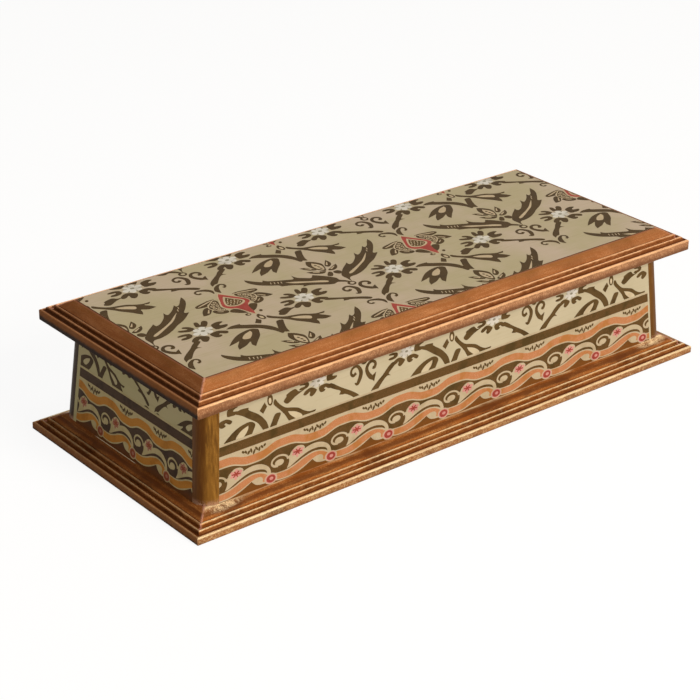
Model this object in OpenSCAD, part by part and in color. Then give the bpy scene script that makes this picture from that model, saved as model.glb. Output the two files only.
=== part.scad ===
// Lidded wooden box with decorated panels, gilded corner beads and a reeded picture-frame moulding.
// Frame: +Z up, X along the long side, front face towards -Y, origin at the centre of the underside.
// All sizes are in millimetres and all angles in degrees.

/* [Overall size] */
// Length of the plinth, outside to outside
plinth_length = 300; // [220:1:420]
// Depth of the plinth, outside to outside
plinth_depth = 130; // [110:1:240]
// Height of the joint between body and lid above the table
lid_joint_height = 55.2; // [45:0.1:160]

/* [Body] */
// How far the walls lean outwards towards the foot
wall_lean = 4.7; // [0:0.1:5.5]
// Thickness of the bare wall boards
wall_board = 7; // [5:0.1:9]
// Thickness of the decorated sheets on the four walls
wall_sheet = 1; // [0.6:0.1:1.5]
// Radius of the rounded outer edge of the corner posts
post_round = 6.4; // [2:0.1:7.4]
// Thickness of the bottom board
bottom_board_thickness = 4; // [3:0.5:6]
// Width of the groove step that the bottom board is let into
bottom_rebate = 3; // [2:0.5:4]
// Thickness of the felt under the box
felt = 0.8; // [0.5:0.1:2]
// Thickness of the velvet lining inside
lining = 1.2; // [0.8:0.1:2]
// Distance from the top of the walls down to the edge of the lining
lining_drop = 2; // [1:0.5:8]

/* [Lid] */
// Distance from the plinth's outer face in to the lid's outer face
lid_setback = 4.3; // [0:0.1:8]
// How far the lid's rim stands out past the top of the walls
lid_overhang = 10; // [9.5:0.1:14]
// Thickness of the lid board
lid_board_thickness = 5; // [4:0.1:5.4]
// Thickness of the decorated sheet on the lid board
lid_sheet = 0.6; // [0.4:0.1:1]
// Width of the ledge that carries the lid board
lid_ledge = 7; // [4:0.5:9]
// Thickness of the padded lining under the lid board
lid_pad = 2; // [1:0.5:3]

/* [Moulding] */
// Height of the upright rim of the lid moulding
lid_rim = 5.2; // [4.4:0.1:8]
// Height of the upright rim of the plinth moulding
plinth_rim = 3.7; // [2.5:0.1:8]
// Width of the moulding from the rim in to its top edge
moulding_width = 12; // [11.5:0.1:16]
// Rise of the moulding from the rim to its top edge
moulding_rise = 5.8; // [4.8:0.1:8]
// Swell of the broad sloping band
band_swell = 0.3; // [0:0.05:0.6]
// Rounding of the rim's edges
rim_round = 0.6; // [0.2:0.1:1]
// Width from the rim's face to the edge of the hollow cove
lip = 0.9; // [0.8:0.1:1.6]
// Radius of the hollow cove
cove = 0.8; // [0.7:0.1:1.2]
// Height of the lower bead's foot above the rim
bead_foot = 0.8; // [0.7:0.1:1.2]
// Radius of the lower bead
lower_bead = 0.65; // [0.4:0.05:0.8]
// Radius of the upper bead
upper_bead = 0.6; // [0.4:0.05:0.8]
// Width of the groove between the two beads
bead_gap = 1.2; // [0.4:0.1:1.4]
// Height of the step between the two beads
bead_step = 1.3; // [0.9:0.1:1.5]
// Narrow flat between the upper bead and the broad band
bead_flat = 0.2; // [0.1:0.05:0.3]
// Height of the small step from the upper bead to the broad band
band_step = 0.3; // [0.1:0.1:0.5]

/* [Hinges] */
// Length of one hinge
hinge_length = 26; // [16:1:40]
// Distance from the end of the plinth to the middle of the nearer hinge
hinge_inset = 70; // [45:1:80]
// Radius of the hinge barrel
barrel_radius = 1.75; // [1.4:0.05:2.2]
// Radius of the hinge pin
pin_radius = 0.8; // [0.6:0.05:1]
// Thickness of a hinge leaf
leaf = 0.8; // [0.5:0.1:1]
// Strip of the lid's rim left free outside the hinge leaf
leaf_margin = 0.7; // [0.5:0.1:1.5]
// Distance from a hinge's middle to each of its screws
screw_offset = 7.5; // [4:0.5:7.5]
// Length of a hinge screw
screw_length = 4.5; // [3:0.5:5]
// Radius of a screw's shank
screw_radius = 0.8; // [0.6:0.05:1]
// Radius of a screw's countersunk head
screw_head = 1.5; // [1.2:0.05:1.7]

/* [Fit] */
// Air between parts that move past each other
air = 0.3; // [0.2:0.05:0.4]
// Radial play of the hinge pin in the turning knuckle
pin_play = 0.05; // [0.02:0.01:0.08]

/* [Hidden] */

gilt = "#a3673b";
wood = "#b58e5f";
brass = "#c8a14b";
velvet = "#6b1c24";

FRONT = 0;
RIGHT = 1;
BACK = 2;
LEFT = 3;

// Longer than anything in the model, for cutting shapes
reach = plinth_length + plinth_depth;
// Overlap that keeps cuts clean
over = 1;

wall = wall_board + wall_sheet;
lean_step = tan(wall_lean);
lid_length = plinth_length - 2 * lid_setback;
lid_depth = plinth_depth - 2 * lid_setback;
top_half_length = lid_length / 2 - lid_overhang;
top_half_depth = lid_depth / 2 - lid_overhang;
wall_top = lid_joint_height - air;
floor_top = felt + bottom_board_thickness;
lining_top = wall_top - lining_drop;
// How far a square corner stays inside the walls to clear the rounded posts
corner_clear = 0.3 * post_round + air;

// The cove is a hollow that starts at 45 degrees under the lip and ends upright under the lower bead
cove_start = 225;
cove_shift = -cove * cos(cove_start);
bead_at = lip + cove_shift + cove;
step_at = bead_at + 2 * lower_bead + bead_gap;
step_height = bead_foot + bead_step;
band_at = step_at + 2 * upper_bead + bead_flat;
band_height = step_height + band_step;
band_parts = 8;
arc_parts = 8;

lid_top = lid_joint_height + lid_rim + moulding_rise;
rebate_depth = lid_board_thickness + lid_sheet;
panel_length = lid_length - 2 * moulding_width;
panel_depth = lid_depth - 2 * moulding_width;
ledge_height = lid_rim + moulding_rise - rebate_depth;

// The hinge axis lies under the rear overhang, clear of the wall and of the lid
axis_z = lid_joint_height - barrel_radius - air;
axis_y = top_half_depth + spread(axis_z) + barrel_radius + air;
leaf_reach = lid_overhang - barrel_radius - 2 * air - leaf_margin;
leaf_start = barrel_radius + air + pin_play;
screw_at = (leaf_start + leaf_reach) / 2;
knuckle = hinge_length / 3;
round_fn = 64;

// How far a wall's outer face stands out past the wall's top edge at height z
function spread(z) = lean_step * (lid_joint_height - z);

// One point of the broad band, with s running from 0 at its lower edge to 1 at its top edge
function band_point(s) = [
    band_at + (moulding_width - band_at) * s,
    band_height + (moulding_rise - band_height) * s + 4 * band_swell * s * (1 - s)
];

// Points of an arc about [x, y] from one angle to another
function arc(x, y, radius, from, to) = [
    for (i = [0:arc_parts])
        let (a = from + (to - from) * i / arc_parts) [x + radius * cos(a), y + radius * sin(a)]
];

// ---- Leaning walls -------------------------------------------------------------------

// Everything between the two end faces, each moved inwards by inset
module between_ends(inset, low, high) {
    half_low = top_half_length + spread(low) - inset;
    half_high = top_half_length + spread(high) - inset;
    rotate([90, 0, 0])
        linear_extrude(height = reach, center = true)
            polygon([[-half_low, low], [half_low, low], [half_high, high], [-half_high, high]]);
}

// Everything between the front and back faces, each moved inwards by inset
module between_faces(inset, low, high) {
    half_low = top_half_depth + spread(low) - inset;
    half_high = top_half_depth + spread(high) - inset;
    rotate([90, 0, 90])
        linear_extrude(height = reach, center = true)
            polygon([[-half_low, low], [half_low, low], [half_high, high], [-half_high, high]]);
}

// A solid block with four leaning sides, moved inwards by inset
module leaning_block(inset, low, high) {
    intersection() {
        between_ends(inset, low, high);
        between_faces(inset, low, high);
    }
}

// The half of space on one side of the box
module half_space(side) {
    rotate([0, 0, 90 * side])
        translate([-reach / 2, -reach, -over])
            cube([reach, reach, lid_top + 2 * over]);
}

// A layer of one wall between two depths under its outer face; trim is how much its ends stop short
module wall_layer(side, outer, inner, trim, low, high) {
    intersection() {
        half_space(side);
        if (side == FRONT || side == BACK) {
            difference() {
                between_faces(outer, low, high);
                between_faces(inner, low - over, high + over);
            }
        } else {
            difference() {
                between_ends(outer, low, high);
                between_ends(inner, low - over, high + over);
            }
        }
        if (side == FRONT || side == BACK) {
            between_ends(trim, low, high);
        } else {
            between_faces(trim, low, high);
        }
    }
}

module wall_board_piece(side) {
    color(wood)
        difference() {
            wall_layer(side, wall_sheet, wall, wall, felt, wall_top);
            leaning_block(wall - bottom_rebate, felt - over, floor_top);
            if (side == BACK) wall_screw_holes();
        }
}

module sheet_piece(side) {
    color("#c5b994")
        difference() {
            wall_layer(side, 0, wall_sheet, wall, felt, wall_top);
            if (side == BACK) wall_screw_holes();
        }
}

module lining_piece(side) {
    ends = (side == FRONT || side == BACK) ? wall : wall + lining;
    color(velvet)
        wall_layer(side, wall, wall + lining, ends, floor_top + lining, lining_top);
}

// ---- Corner posts --------------------------------------------------------------------

// Square post with its outer edge rounded to a quarter circle, seen from above at the front left
module post_outline() {
    difference() {
        square(wall);
        corner_outline();
    }
}

// What the rounding takes off the square corner
module corner_outline() {
    difference() {
        translate([-over, -over]) square(post_round + over);
        translate([post_round, post_round]) circle(r = post_round, $fn = round_fn);
    }
}

// Stands its child outline at one corner and leans it outwards in both directions
module leaning_corner(x_side, y_side, low, high) {
    x = x_side * (top_half_length + spread(low));
    y = y_side * (top_half_depth + spread(low));
    translate([x, y, low])
        multmatrix([
            [1, 0, -x_side * lean_step, 0],
            [0, 1, -y_side * lean_step, 0],
            [0, 0, 1, 0],
            [0, 0, 0, 1]
        ])
            linear_extrude(height = high - low)
                mirror([x_side > 0 ? 1 : 0, 0])
                    mirror([0, y_side > 0 ? 1 : 0])
                        children();
}

module post(x_side, y_side) {
    color(gilt)
        difference() {
            leaning_corner(x_side, y_side, felt, wall_top) post_outline();
            leaning_block(wall - bottom_rebate, felt - over, floor_top);
        }
}

// ---- Moulding ------------------------------------------------------------------------

// Section of the moulding: x runs inwards from the rim, y runs up from the underside.
// Rim, lip, hollow cove, lower bead, groove, upper bead and broad band follow each other upwards.
module moulding_section(rim, back_width, back_height) {
    polygon(concat(
        [[rim_round / 2, 0], [0, rim_round / 2]],
        arc(rim_round, rim - rim_round, rim_round, 180, 90),
        arc(lip + cove_shift, rim + cove_shift, cove, cove_start, 360),
        arc(bead_at + lower_bead, rim + bead_foot, lower_bead, 180, 0),
        [[step_at, rim + bead_foot]],
        arc(step_at + upper_bead, rim + step_height, upper_bead, 180, 0),
        [[band_at, rim + step_height]],
        [for (i = [0:band_parts]) [0, rim] + band_point(i / band_parts)],
        [[moulding_width, back_height], [back_width, back_height], [back_width, 0]]
    ));
}

// One rail of a mitred frame, with its section as the child
module mitred_rail(side, length, depth, width, height) {
    long = (side == FRONT || side == BACK) ? length : depth;
    out = (side == FRONT || side == BACK) ? depth / 2 : length / 2;
    rotate([0, 0, 90 * side])
        intersection() {
            rotate([90, 0, 90])
                linear_extrude(height = long, center = true)
                    translate([-out, 0]) children();
            linear_extrude(height = height)
                polygon([
                    [-long / 2, -out], [long / 2, -out],
                    [long / 2 - width, -out + width], [-long / 2 + width, -out + width]
                ]);
        }
}

module plinth_piece(side) {
    width = moulding_width + lid_overhang;
    height = plinth_rim + moulding_rise;
    color(gilt)
        difference() {
            mitred_rail(side, plinth_length, plinth_depth, width, height + over)
                moulding_section(plinth_rim, width, height);
            difference() {
                leaning_block(0, -over, height + 2 * over);
                for (x_side = [-1, 1], y_side = [-1, 1])
                    leaning_corner(x_side, y_side, -2 * over, height + 3 * over) corner_outline();
            }
        }
}

module lid_rail(side) {
    width = moulding_width + lid_ledge;
    height = lid_rim + moulding_rise;
    color(gilt)
        difference() {
            translate([0, 0, lid_joint_height])
                mitred_rail(side, lid_length, lid_depth, width, height + over)
                    moulding_section(lid_rim, width, ledge_height);
            if (side == BACK) lid_screw_holes();
        }
}

// ---- Boards and soft layers ----------------------------------------------------------

module bottom_board() {
    color(wood) leaning_block(wall - bottom_rebate, felt, floor_top);
}

module felt_pad() {
    color("#2f4a34") leaning_block(corner_clear, 0, felt);
}

module lining_floor() {
    color(velvet) leaning_block(wall, floor_top, floor_top + lining);
}

module lid_board() {
    color(wood)
        translate([0, 0, lid_top - rebate_depth + lid_board_thickness / 2])
            cube([panel_length, panel_depth, lid_board_thickness], center = true);
}

module lid_sheet_top() {
    color("#b3a280")
        translate([0, 0, lid_top - lid_sheet / 2])
            cube([panel_length, panel_depth, lid_sheet], center = true);
}

module lid_lining() {
    color(velvet)
        translate([0, 0, lid_top - rebate_depth - lid_pad / 2])
            cube([panel_length - 2 * lid_ledge, panel_depth - 2 * lid_ledge, lid_pad], center = true);
}

// ---- Hinges --------------------------------------------------------------------------

// Puts its child in the frame of one hinge: x along the pin, y away from the wall, z up
module at_hinge(x_side) {
    translate([x_side * (plinth_length / 2 - hinge_inset), axis_y, axis_z]) children();
}

// The wall's outer face at height z, measured from the hinge axis
function wall_face(z) = -(barrel_radius + air) - lean_step * z;

// A stretch of the barrel between two positions along the pin
module barrel(from, to) {
    translate([from, 0, 0]) rotate([0, 90, 0]) cylinder(h = to - from, r = barrel_radius, $fn = round_fn);
}

module pin_bore(radius) {
    rotate([0, 90, 0]) cylinder(h = hinge_length + 2 * over, r = radius, center = true, $fn = round_fn);
}

// Part of the leaf on the wall, lying flat against its slope
module wall_plate(from, to, top) {
    translate([from, 0, 0])
        rotate([90, 0, 90])
            linear_extrude(height = to - from)
                polygon([
                    [wall_face(-leaf_reach), -leaf_reach], [wall_face(-leaf_reach) + leaf, -leaf_reach],
                    [wall_face(top) + leaf, top], [wall_face(top), top]
                ]);
}

// Part of the leaf under the lid's rim
module lid_plate(from, to, start) {
    translate([from, start, barrel_radius + air - leaf]) cube([to - from, leaf_reach - start, leaf]);
}

module wall_leaf(x_side) {
    end = hinge_length / 2;
    inner = knuckle / 2 + air / 2;
    color(brass)
        at_hinge(x_side)
            difference() {
                union() {
                    wall_plate(-end, end, -leaf_start);
                    for (s = [-1, 1]) {
                        wall_plate(s > 0 ? inner : -end, s > 0 ? end : -inner, 0);
                        barrel(s > 0 ? inner : -end, s > 0 ? end : -inner);
                    }
                }
                pin_bore(pin_radius);
                for (s = [-1, 1]) on_wall(s * screw_offset) screw_seat();
            }
}

module lid_leaf(x_side) {
    end = hinge_length / 2;
    inner = knuckle / 2 - air / 2;
    color(brass)
        at_hinge(x_side)
            difference() {
                union() {
                    lid_plate(-end, end, leaf_start);
                    lid_plate(-inner, inner, 0);
                    barrel(-inner, inner);
                }
                pin_bore(pin_radius + pin_play);
                for (s = [-1, 1]) under_lid(s * screw_offset) screw_seat();
            }
}

module pin(x_side) {
    color(brass)
        at_hinge(x_side)
            rotate([0, 90, 0]) cylinder(h = hinge_length, r = pin_radius, center = true, $fn = round_fn);
}

// ---- Screws --------------------------------------------------------------------------

// Places a screw on the wall's slope with its head outwards
module on_wall(x) {
    translate([x, wall_face(-screw_at), -screw_at]) rotate([-(90 - wall_lean), 0, 0]) children();
}

// Places a screw under the lid's rim with its head down
module under_lid(x) {
    translate([x, screw_at, barrel_radius + air]) rotate([180, 0, 0]) children();
}

// Hole for a countersunk screw, with the seat at z = 0 and the countersink opening upwards
module screw_seat() {
    head = leaf * cos(wall_lean);
    translate([0, 0, -over]) cylinder(h = 2 * over, r = screw_radius, $fn = round_fn);
    cylinder(h = 2 * head, r1 = screw_radius, r2 = 2 * screw_head - screw_radius, $fn = round_fn);
}

module screw() {
    head = leaf * cos(wall_lean);
    slot_depth = head / 3;
    difference() {
        union() {
            translate([0, 0, -screw_length]) cylinder(h = screw_length, r = screw_radius, $fn = round_fn);
            cylinder(h = head, r1 = screw_radius, r2 = screw_head, $fn = round_fn);
        }
        translate([0, 0, head]) cube([4 * screw_head, screw_head / 4, 2 * slot_depth], center = true);
    }
}

module screw_hole() {
    translate([0, 0, -screw_length]) cylinder(h = screw_length + over, r = screw_radius, $fn = round_fn);
}

module wall_screw_holes() {
    for (h = [-1, 1], s = [-1, 1]) at_hinge(h) on_wall(s * screw_offset) screw_hole();
}

module lid_screw_holes() {
    for (h = [-1, 1], s = [-1, 1]) at_hinge(h) under_lid(s * screw_offset) screw_hole();
}

module wall_screws() {
    color(brass)
        for (h = [-1, 1], s = [-1, 1]) at_hinge(h) on_wall(s * screw_offset) screw();
}

module lid_screws() {
    color(brass)
        for (h = [-1, 1], s = [-1, 1]) at_hinge(h) under_lid(s * screw_offset) screw();
}

// ---- Parts ---------------------------------------------------------------------------

plinth_piece(FRONT);  // plinth_front
plinth_piece(RIGHT);  // plinth_right
plinth_piece(BACK);  // plinth_back
plinth_piece(LEFT);  // plinth_left
wall_board_piece(FRONT);  // wall_front
wall_board_piece(RIGHT);  // wall_right
wall_board_piece(BACK);  // wall_back
wall_board_piece(LEFT);  // wall_left
sheet_piece(FRONT);  // sheet_front
sheet_piece(RIGHT);  // sheet_right
sheet_piece(BACK);  // sheet_back
sheet_piece(LEFT);  // sheet_left
post(-1, -1);  // post_front_left
post(1, -1);  // post_front_right
post(1, 1);  // post_back_right
post(-1, 1);  // post_back_left
bottom_board();
felt_pad();
lining_floor();
lining_piece(FRONT);  // lining_front
lining_piece(RIGHT);  // lining_right
lining_piece(BACK);  // lining_back
lining_piece(LEFT);  // lining_left
lid_rail(FRONT);  // lid_rail_front
lid_rail(RIGHT);  // lid_rail_right
lid_rail(BACK);  // lid_rail_back
lid_rail(LEFT);  // lid_rail_left
lid_board();
lid_sheet_top();
lid_lining();
wall_leaf(-1);  // hinge_left_wall_leaf
lid_leaf(-1);  // hinge_left_lid_leaf
pin(-1);  // hinge_left_pin
wall_leaf(1);  // hinge_right_wall_leaf
lid_leaf(1);  // hinge_right_lid_leaf
pin(1);  // hinge_right_pin
wall_screws();
lid_screws();
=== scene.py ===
"""Lidded wooden box: gilt mouldings, inlaid flower sheets, soft linings and studio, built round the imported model."""
import logging
import math
from dataclasses import dataclass, field
from enum import Enum
from itertools import product
from typing import Any, Callable, ClassVar, Iterable, Optional, Union

import bpy
import bmesh
from mathutils import Matrix, Vector


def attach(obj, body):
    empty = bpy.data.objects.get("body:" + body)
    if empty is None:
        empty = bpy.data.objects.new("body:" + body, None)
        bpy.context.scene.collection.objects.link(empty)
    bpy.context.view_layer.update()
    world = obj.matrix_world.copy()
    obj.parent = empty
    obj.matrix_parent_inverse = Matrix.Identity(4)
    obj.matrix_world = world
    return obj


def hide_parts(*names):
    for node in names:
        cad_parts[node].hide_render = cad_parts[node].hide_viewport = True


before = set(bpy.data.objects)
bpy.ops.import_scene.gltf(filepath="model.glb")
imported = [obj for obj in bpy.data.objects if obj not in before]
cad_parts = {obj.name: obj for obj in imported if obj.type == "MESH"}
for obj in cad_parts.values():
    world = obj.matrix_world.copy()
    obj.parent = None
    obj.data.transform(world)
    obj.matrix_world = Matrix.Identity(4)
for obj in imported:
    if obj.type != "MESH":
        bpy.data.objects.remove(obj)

logging.basicConfig(level=logging.INFO, format="%(message)s")
log = logging.getLogger("box")

MM = 0.001  # metres
LOW_GLOSS = 0.08  # specular level of old paint and lacquer

# Heights of the laid-on shapes above their sheet's face, in millimetres.
SUNK = -0.12  # their common underside, inside the sheet
PROUD = 0.03  # top of the lowest motif
LAYER = 0.02  # from one layer of a motif to the next
HAIR = 0.0016  # from one shape to the next,
HAIRS = 12  # starting again after this many shapes
NUDGE = 0.0002  # from one motif to the next

MERGED = 0.002  # corners closer than this many millimetres become one

Point = tuple[float, float]
Triple = tuple[float, float, float]
Window = tuple[float, float, float, float]  # left, right, low and high edges in millimetres


class Side(Enum):
    """The four sides of the box, with the turn about Z that brings the front to each."""

    FRONT = 0
    RIGHT = 90
    BACK = 180
    LEFT = 270

    @property
    def word(self) -> str:
        """The side's name as the parts spell it."""
        return self.name.lower()

    @property
    def long(self) -> bool:
        """True on the two long sides."""
        return self in (Side.FRONT, Side.BACK)


class Tint(Enum):
    """The colours that the decorated sheets are pieced from."""

    GROUND = "ground"
    UMBER = "umber"
    SHADE = "shade"
    CREAM = "cream"
    PALE = "pale"
    STONE = "stone"
    WHITE = "white"
    ROSE = "rose"
    RED = "red"
    SALMON = "salmon"


# ---- Shader maths ---------------------------------------------------------------------


def linear(code: str) -> tuple[float, ...]:
    """Turns a written colour into Blender's linear values.

    Args:
        code: six hexadecimal digits after a hash.

    Returns:
        Red, green, blue and an alpha of one.
    """
    parts = [int(code[i:i + 2], 16) / 255 for i in (1, 3, 5)]
    return tuple(p / 12.92 if p <= 0.04045 else ((p + 0.055) / 1.055) ** 2.4 for p in parts) + (1.0,)


def forms(operation: str) -> tuple[Callable, Callable]:
    """Makes a method of Shade that adds a Math node, and its reflected form.

    Args:
        operation: the node's operation.

    Returns:
        The method with the shade first, and the one with the shade second.
    """
    def ahead(self: "Shade", other: Any) -> "Shade":
        """The operation on a shade and another value."""
        return self.math(operation, self, other)

    def behind(self: "Shade", other: Any) -> "Shade":
        """The operation on another value and a shade."""
        return self.math(operation, other, self)

    return ahead, behind


class Shade:
    """One value of a node tree, so that its maths reads as Python."""

    __add__, __radd__ = forms("ADD")
    __sub__, __rsub__ = forms("SUBTRACT")
    __mul__, __rmul__ = forms("MULTIPLY")
    __truediv__, __rtruediv__ = forms("DIVIDE")
    __pow__, __rpow__ = forms("POWER")
    lesser, greater, zigzag = (forms(operation)[0] for operation in ("MINIMUM", "MAXIMUM", "PINGPONG"))

    def __init__(self, recipe: "Recipe", socket: bpy.types.NodeSocket) -> None:
        """Wraps an output socket of a recipe's tree."""
        self.recipe = recipe
        self.socket = socket

    def math(self, operation: str, *values: Any, clamp: bool = False) -> "Shade":
        """Adds a Math node.

        Args:
            operation: the node's operation.
            *values: numbers or shades.
            clamp: whether the result stays from 0 to 1.

        Returns:
            The result.
        """
        settings = {"operation": operation, "use_clamp": clamp}
        return self.recipe.shade("ShaderNodeMath", settings, dict(enumerate(values)))

    def __abs__(self) -> "Shade":
        """Size without sign."""
        return self.math("ABSOLUTE", self)

    def clamped(self) -> "Shade":
        """The value kept from 0 to 1."""
        return self.math("ADD", self, 0.0, clamp=True)

    def span(self, low: float, high: float) -> "Shade":
        """A soft step from 0 at low to 1 at high."""
        values = {"Value": self, "From Min": low, "From Max": high, "To Min": 0.0, "To Max": 1.0}
        return self.recipe.shade("ShaderNodeMapRange", {"interpolation_type": "SMOOTHSTEP"}, values)

    def between(self, low: float, high: float, soft: float = 0.25) -> "Shade":
        """One from low to high and 0 outside, with soft ends."""
        return self.span(low - soft, low + soft) * (1 - self.span(high - soft, high + soft))


class Recipe:
    """Mixes one procedural material, or a world's light."""

    def __init__(self, name: str, world: bool = False) -> None:
        """Starts an empty node tree.

        Args:
            name: the finish's name.
            world: whether it is for a world and not for a material.
        """
        self.owner = (bpy.data.worlds if world else bpy.data.materials).new(name)
        self.owner.use_nodes = True
        self.tree = self.owner.node_tree
        self.tree.nodes.clear()

    def node(self, kind: str, settings: Optional[dict] = None, values: Optional[dict] = None) -> bpy.types.Node:
        """Adds a node.

        Args:
            kind: the node's type.
            settings: properties, which are set first.
            values: numbers, written colours or shades by socket name or number.

        Returns:
            The node.
        """
        made = self.tree.nodes.new(kind)
        for key, value in (settings or {}).items():
            setattr(made, key, value)
        for key, value in (values or {}).items():
            if isinstance(value, Shade):
                self.tree.links.new(value.socket, made.inputs[key])
            else:
                made.inputs[key].default_value = linear(value) if isinstance(value, str) else value
        return made

    def shade(self, kind: str, settings: Optional[dict] = None, values: Optional[dict] = None,
              output: Union[int, str] = 0) -> Shade:
        """Adds a node and returns one of its outputs, as node() does otherwise."""
        return Shade(self, self.node(kind, settings, values).outputs[output])

    def place(self, stretch: Triple = (1, 1, 1)) -> Shade:
        """Object coordinates in metres, multiplied per axis."""
        here = self.shade("ShaderNodeTexCoord", output="Object")
        return self.shade("ShaderNodeVectorMath", {"operation": "MULTIPLY"}, {0: here, 1: stretch})

    def axes(self) -> tuple[Shade, Shade, Shade]:
        """The three object coordinates in millimetres."""
        made = self.node("ShaderNodeSeparateXYZ", values={0: self.place((1 / MM,) * 3)})
        return tuple(Shade(self, made.outputs[i]) for i in range(3))

    def noise(self, scale: float, stretch: Triple = (1, 1, 1), detail: float = 3, rough: float = 0.5,
              warp: float = 0.0) -> Shade:
        """Cloudy noise.

        Args:
            scale: features per metre.
            stretch: one factor per axis.
            detail: octaves.
            rough: strength of the small octaves.
            warp: distortion.

        Returns:
            A value from 0 to 1.
        """
        return self.shade("ShaderNodeTexNoise", values={"Vector": self.place(stretch), "Scale": scale, "Detail": detail,
                                                        "Roughness": rough, "Distortion": warp})

    def specks(self, scale: float, stretch: Triple = (1, 1, 1)) -> Shade:
        """Distance to the nearest of many scattered points.

        Args:
            scale: cells per metre.
            stretch: one factor per axis.

        Returns:
            A value from 0 at each point upwards.
        """
        return self.shade("ShaderNodeTexVoronoi", {"feature": "F1"}, {"Vector": self.place(stretch), "Scale": scale})

    def layered(self, tone: Union[str, Shade], *layers: tuple[str, Any]) -> Shade:
        """Lays colours over one another.

        Args:
            tone: the lowest colour.
            *layers: each next colour with the share of it that shows.

        Returns:
            The mixed colour.
        """
        for colour, share in layers:
            made = self.node("ShaderNodeMix", {"data_type": "RGBA"}, {0: share, 6: tone, 7: colour})
            tone = Shade(self, made.outputs[2])
        return tone

    def bump(self, height: Shade, depth: float, strength: float) -> Shade:
        """A bumped normal.

        Args:
            height: the relief, from 0 to 1.
            depth: metres from 0 to 1.
            strength: how much of it shows.

        Returns:
            The normal.
        """
        return self.shade("ShaderNodeBump", values={"Strength": strength, "Distance": depth, "Height": height})

    def surface(self, **values: Any) -> bpy.types.Material:
        """Ends the material in a Principled surface.

        Args:
            **values: socket values, with spaces written as underscores.

        Returns:
            The material.
        """
        named = {key.replace("_", " "): value for key, value in values.items()}
        self.node("ShaderNodeOutputMaterial", values={"Surface": self.shade("ShaderNodeBsdfPrincipled", values=named)})
        return self.owner

    def glimpsed(self, unseen: Shade, seen: Shade, share: float) -> Shade:
        """Shows one shader to the camera, to gloss and through glass, and another to all other rays.

        Args:
            unseen: the shader for all other rays.
            seen: the shader that is looked at.
            share: how much of it shows there.

        Returns:
            The mixed shader.
        """
        rays = self.node("ShaderNodeLightPath").outputs
        camera, gloss, glass = (Shade(self, rays[f"Is {kind} Ray"]) for kind in ("Camera", "Glossy", "Transmission"))
        shown = (camera + gloss + glass).clamped() * share
        return self.shade("ShaderNodeMixShader", values={0: shown, 1: unseen, 2: seen})


# ---- Finishes -------------------------------------------------------------------------


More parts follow.
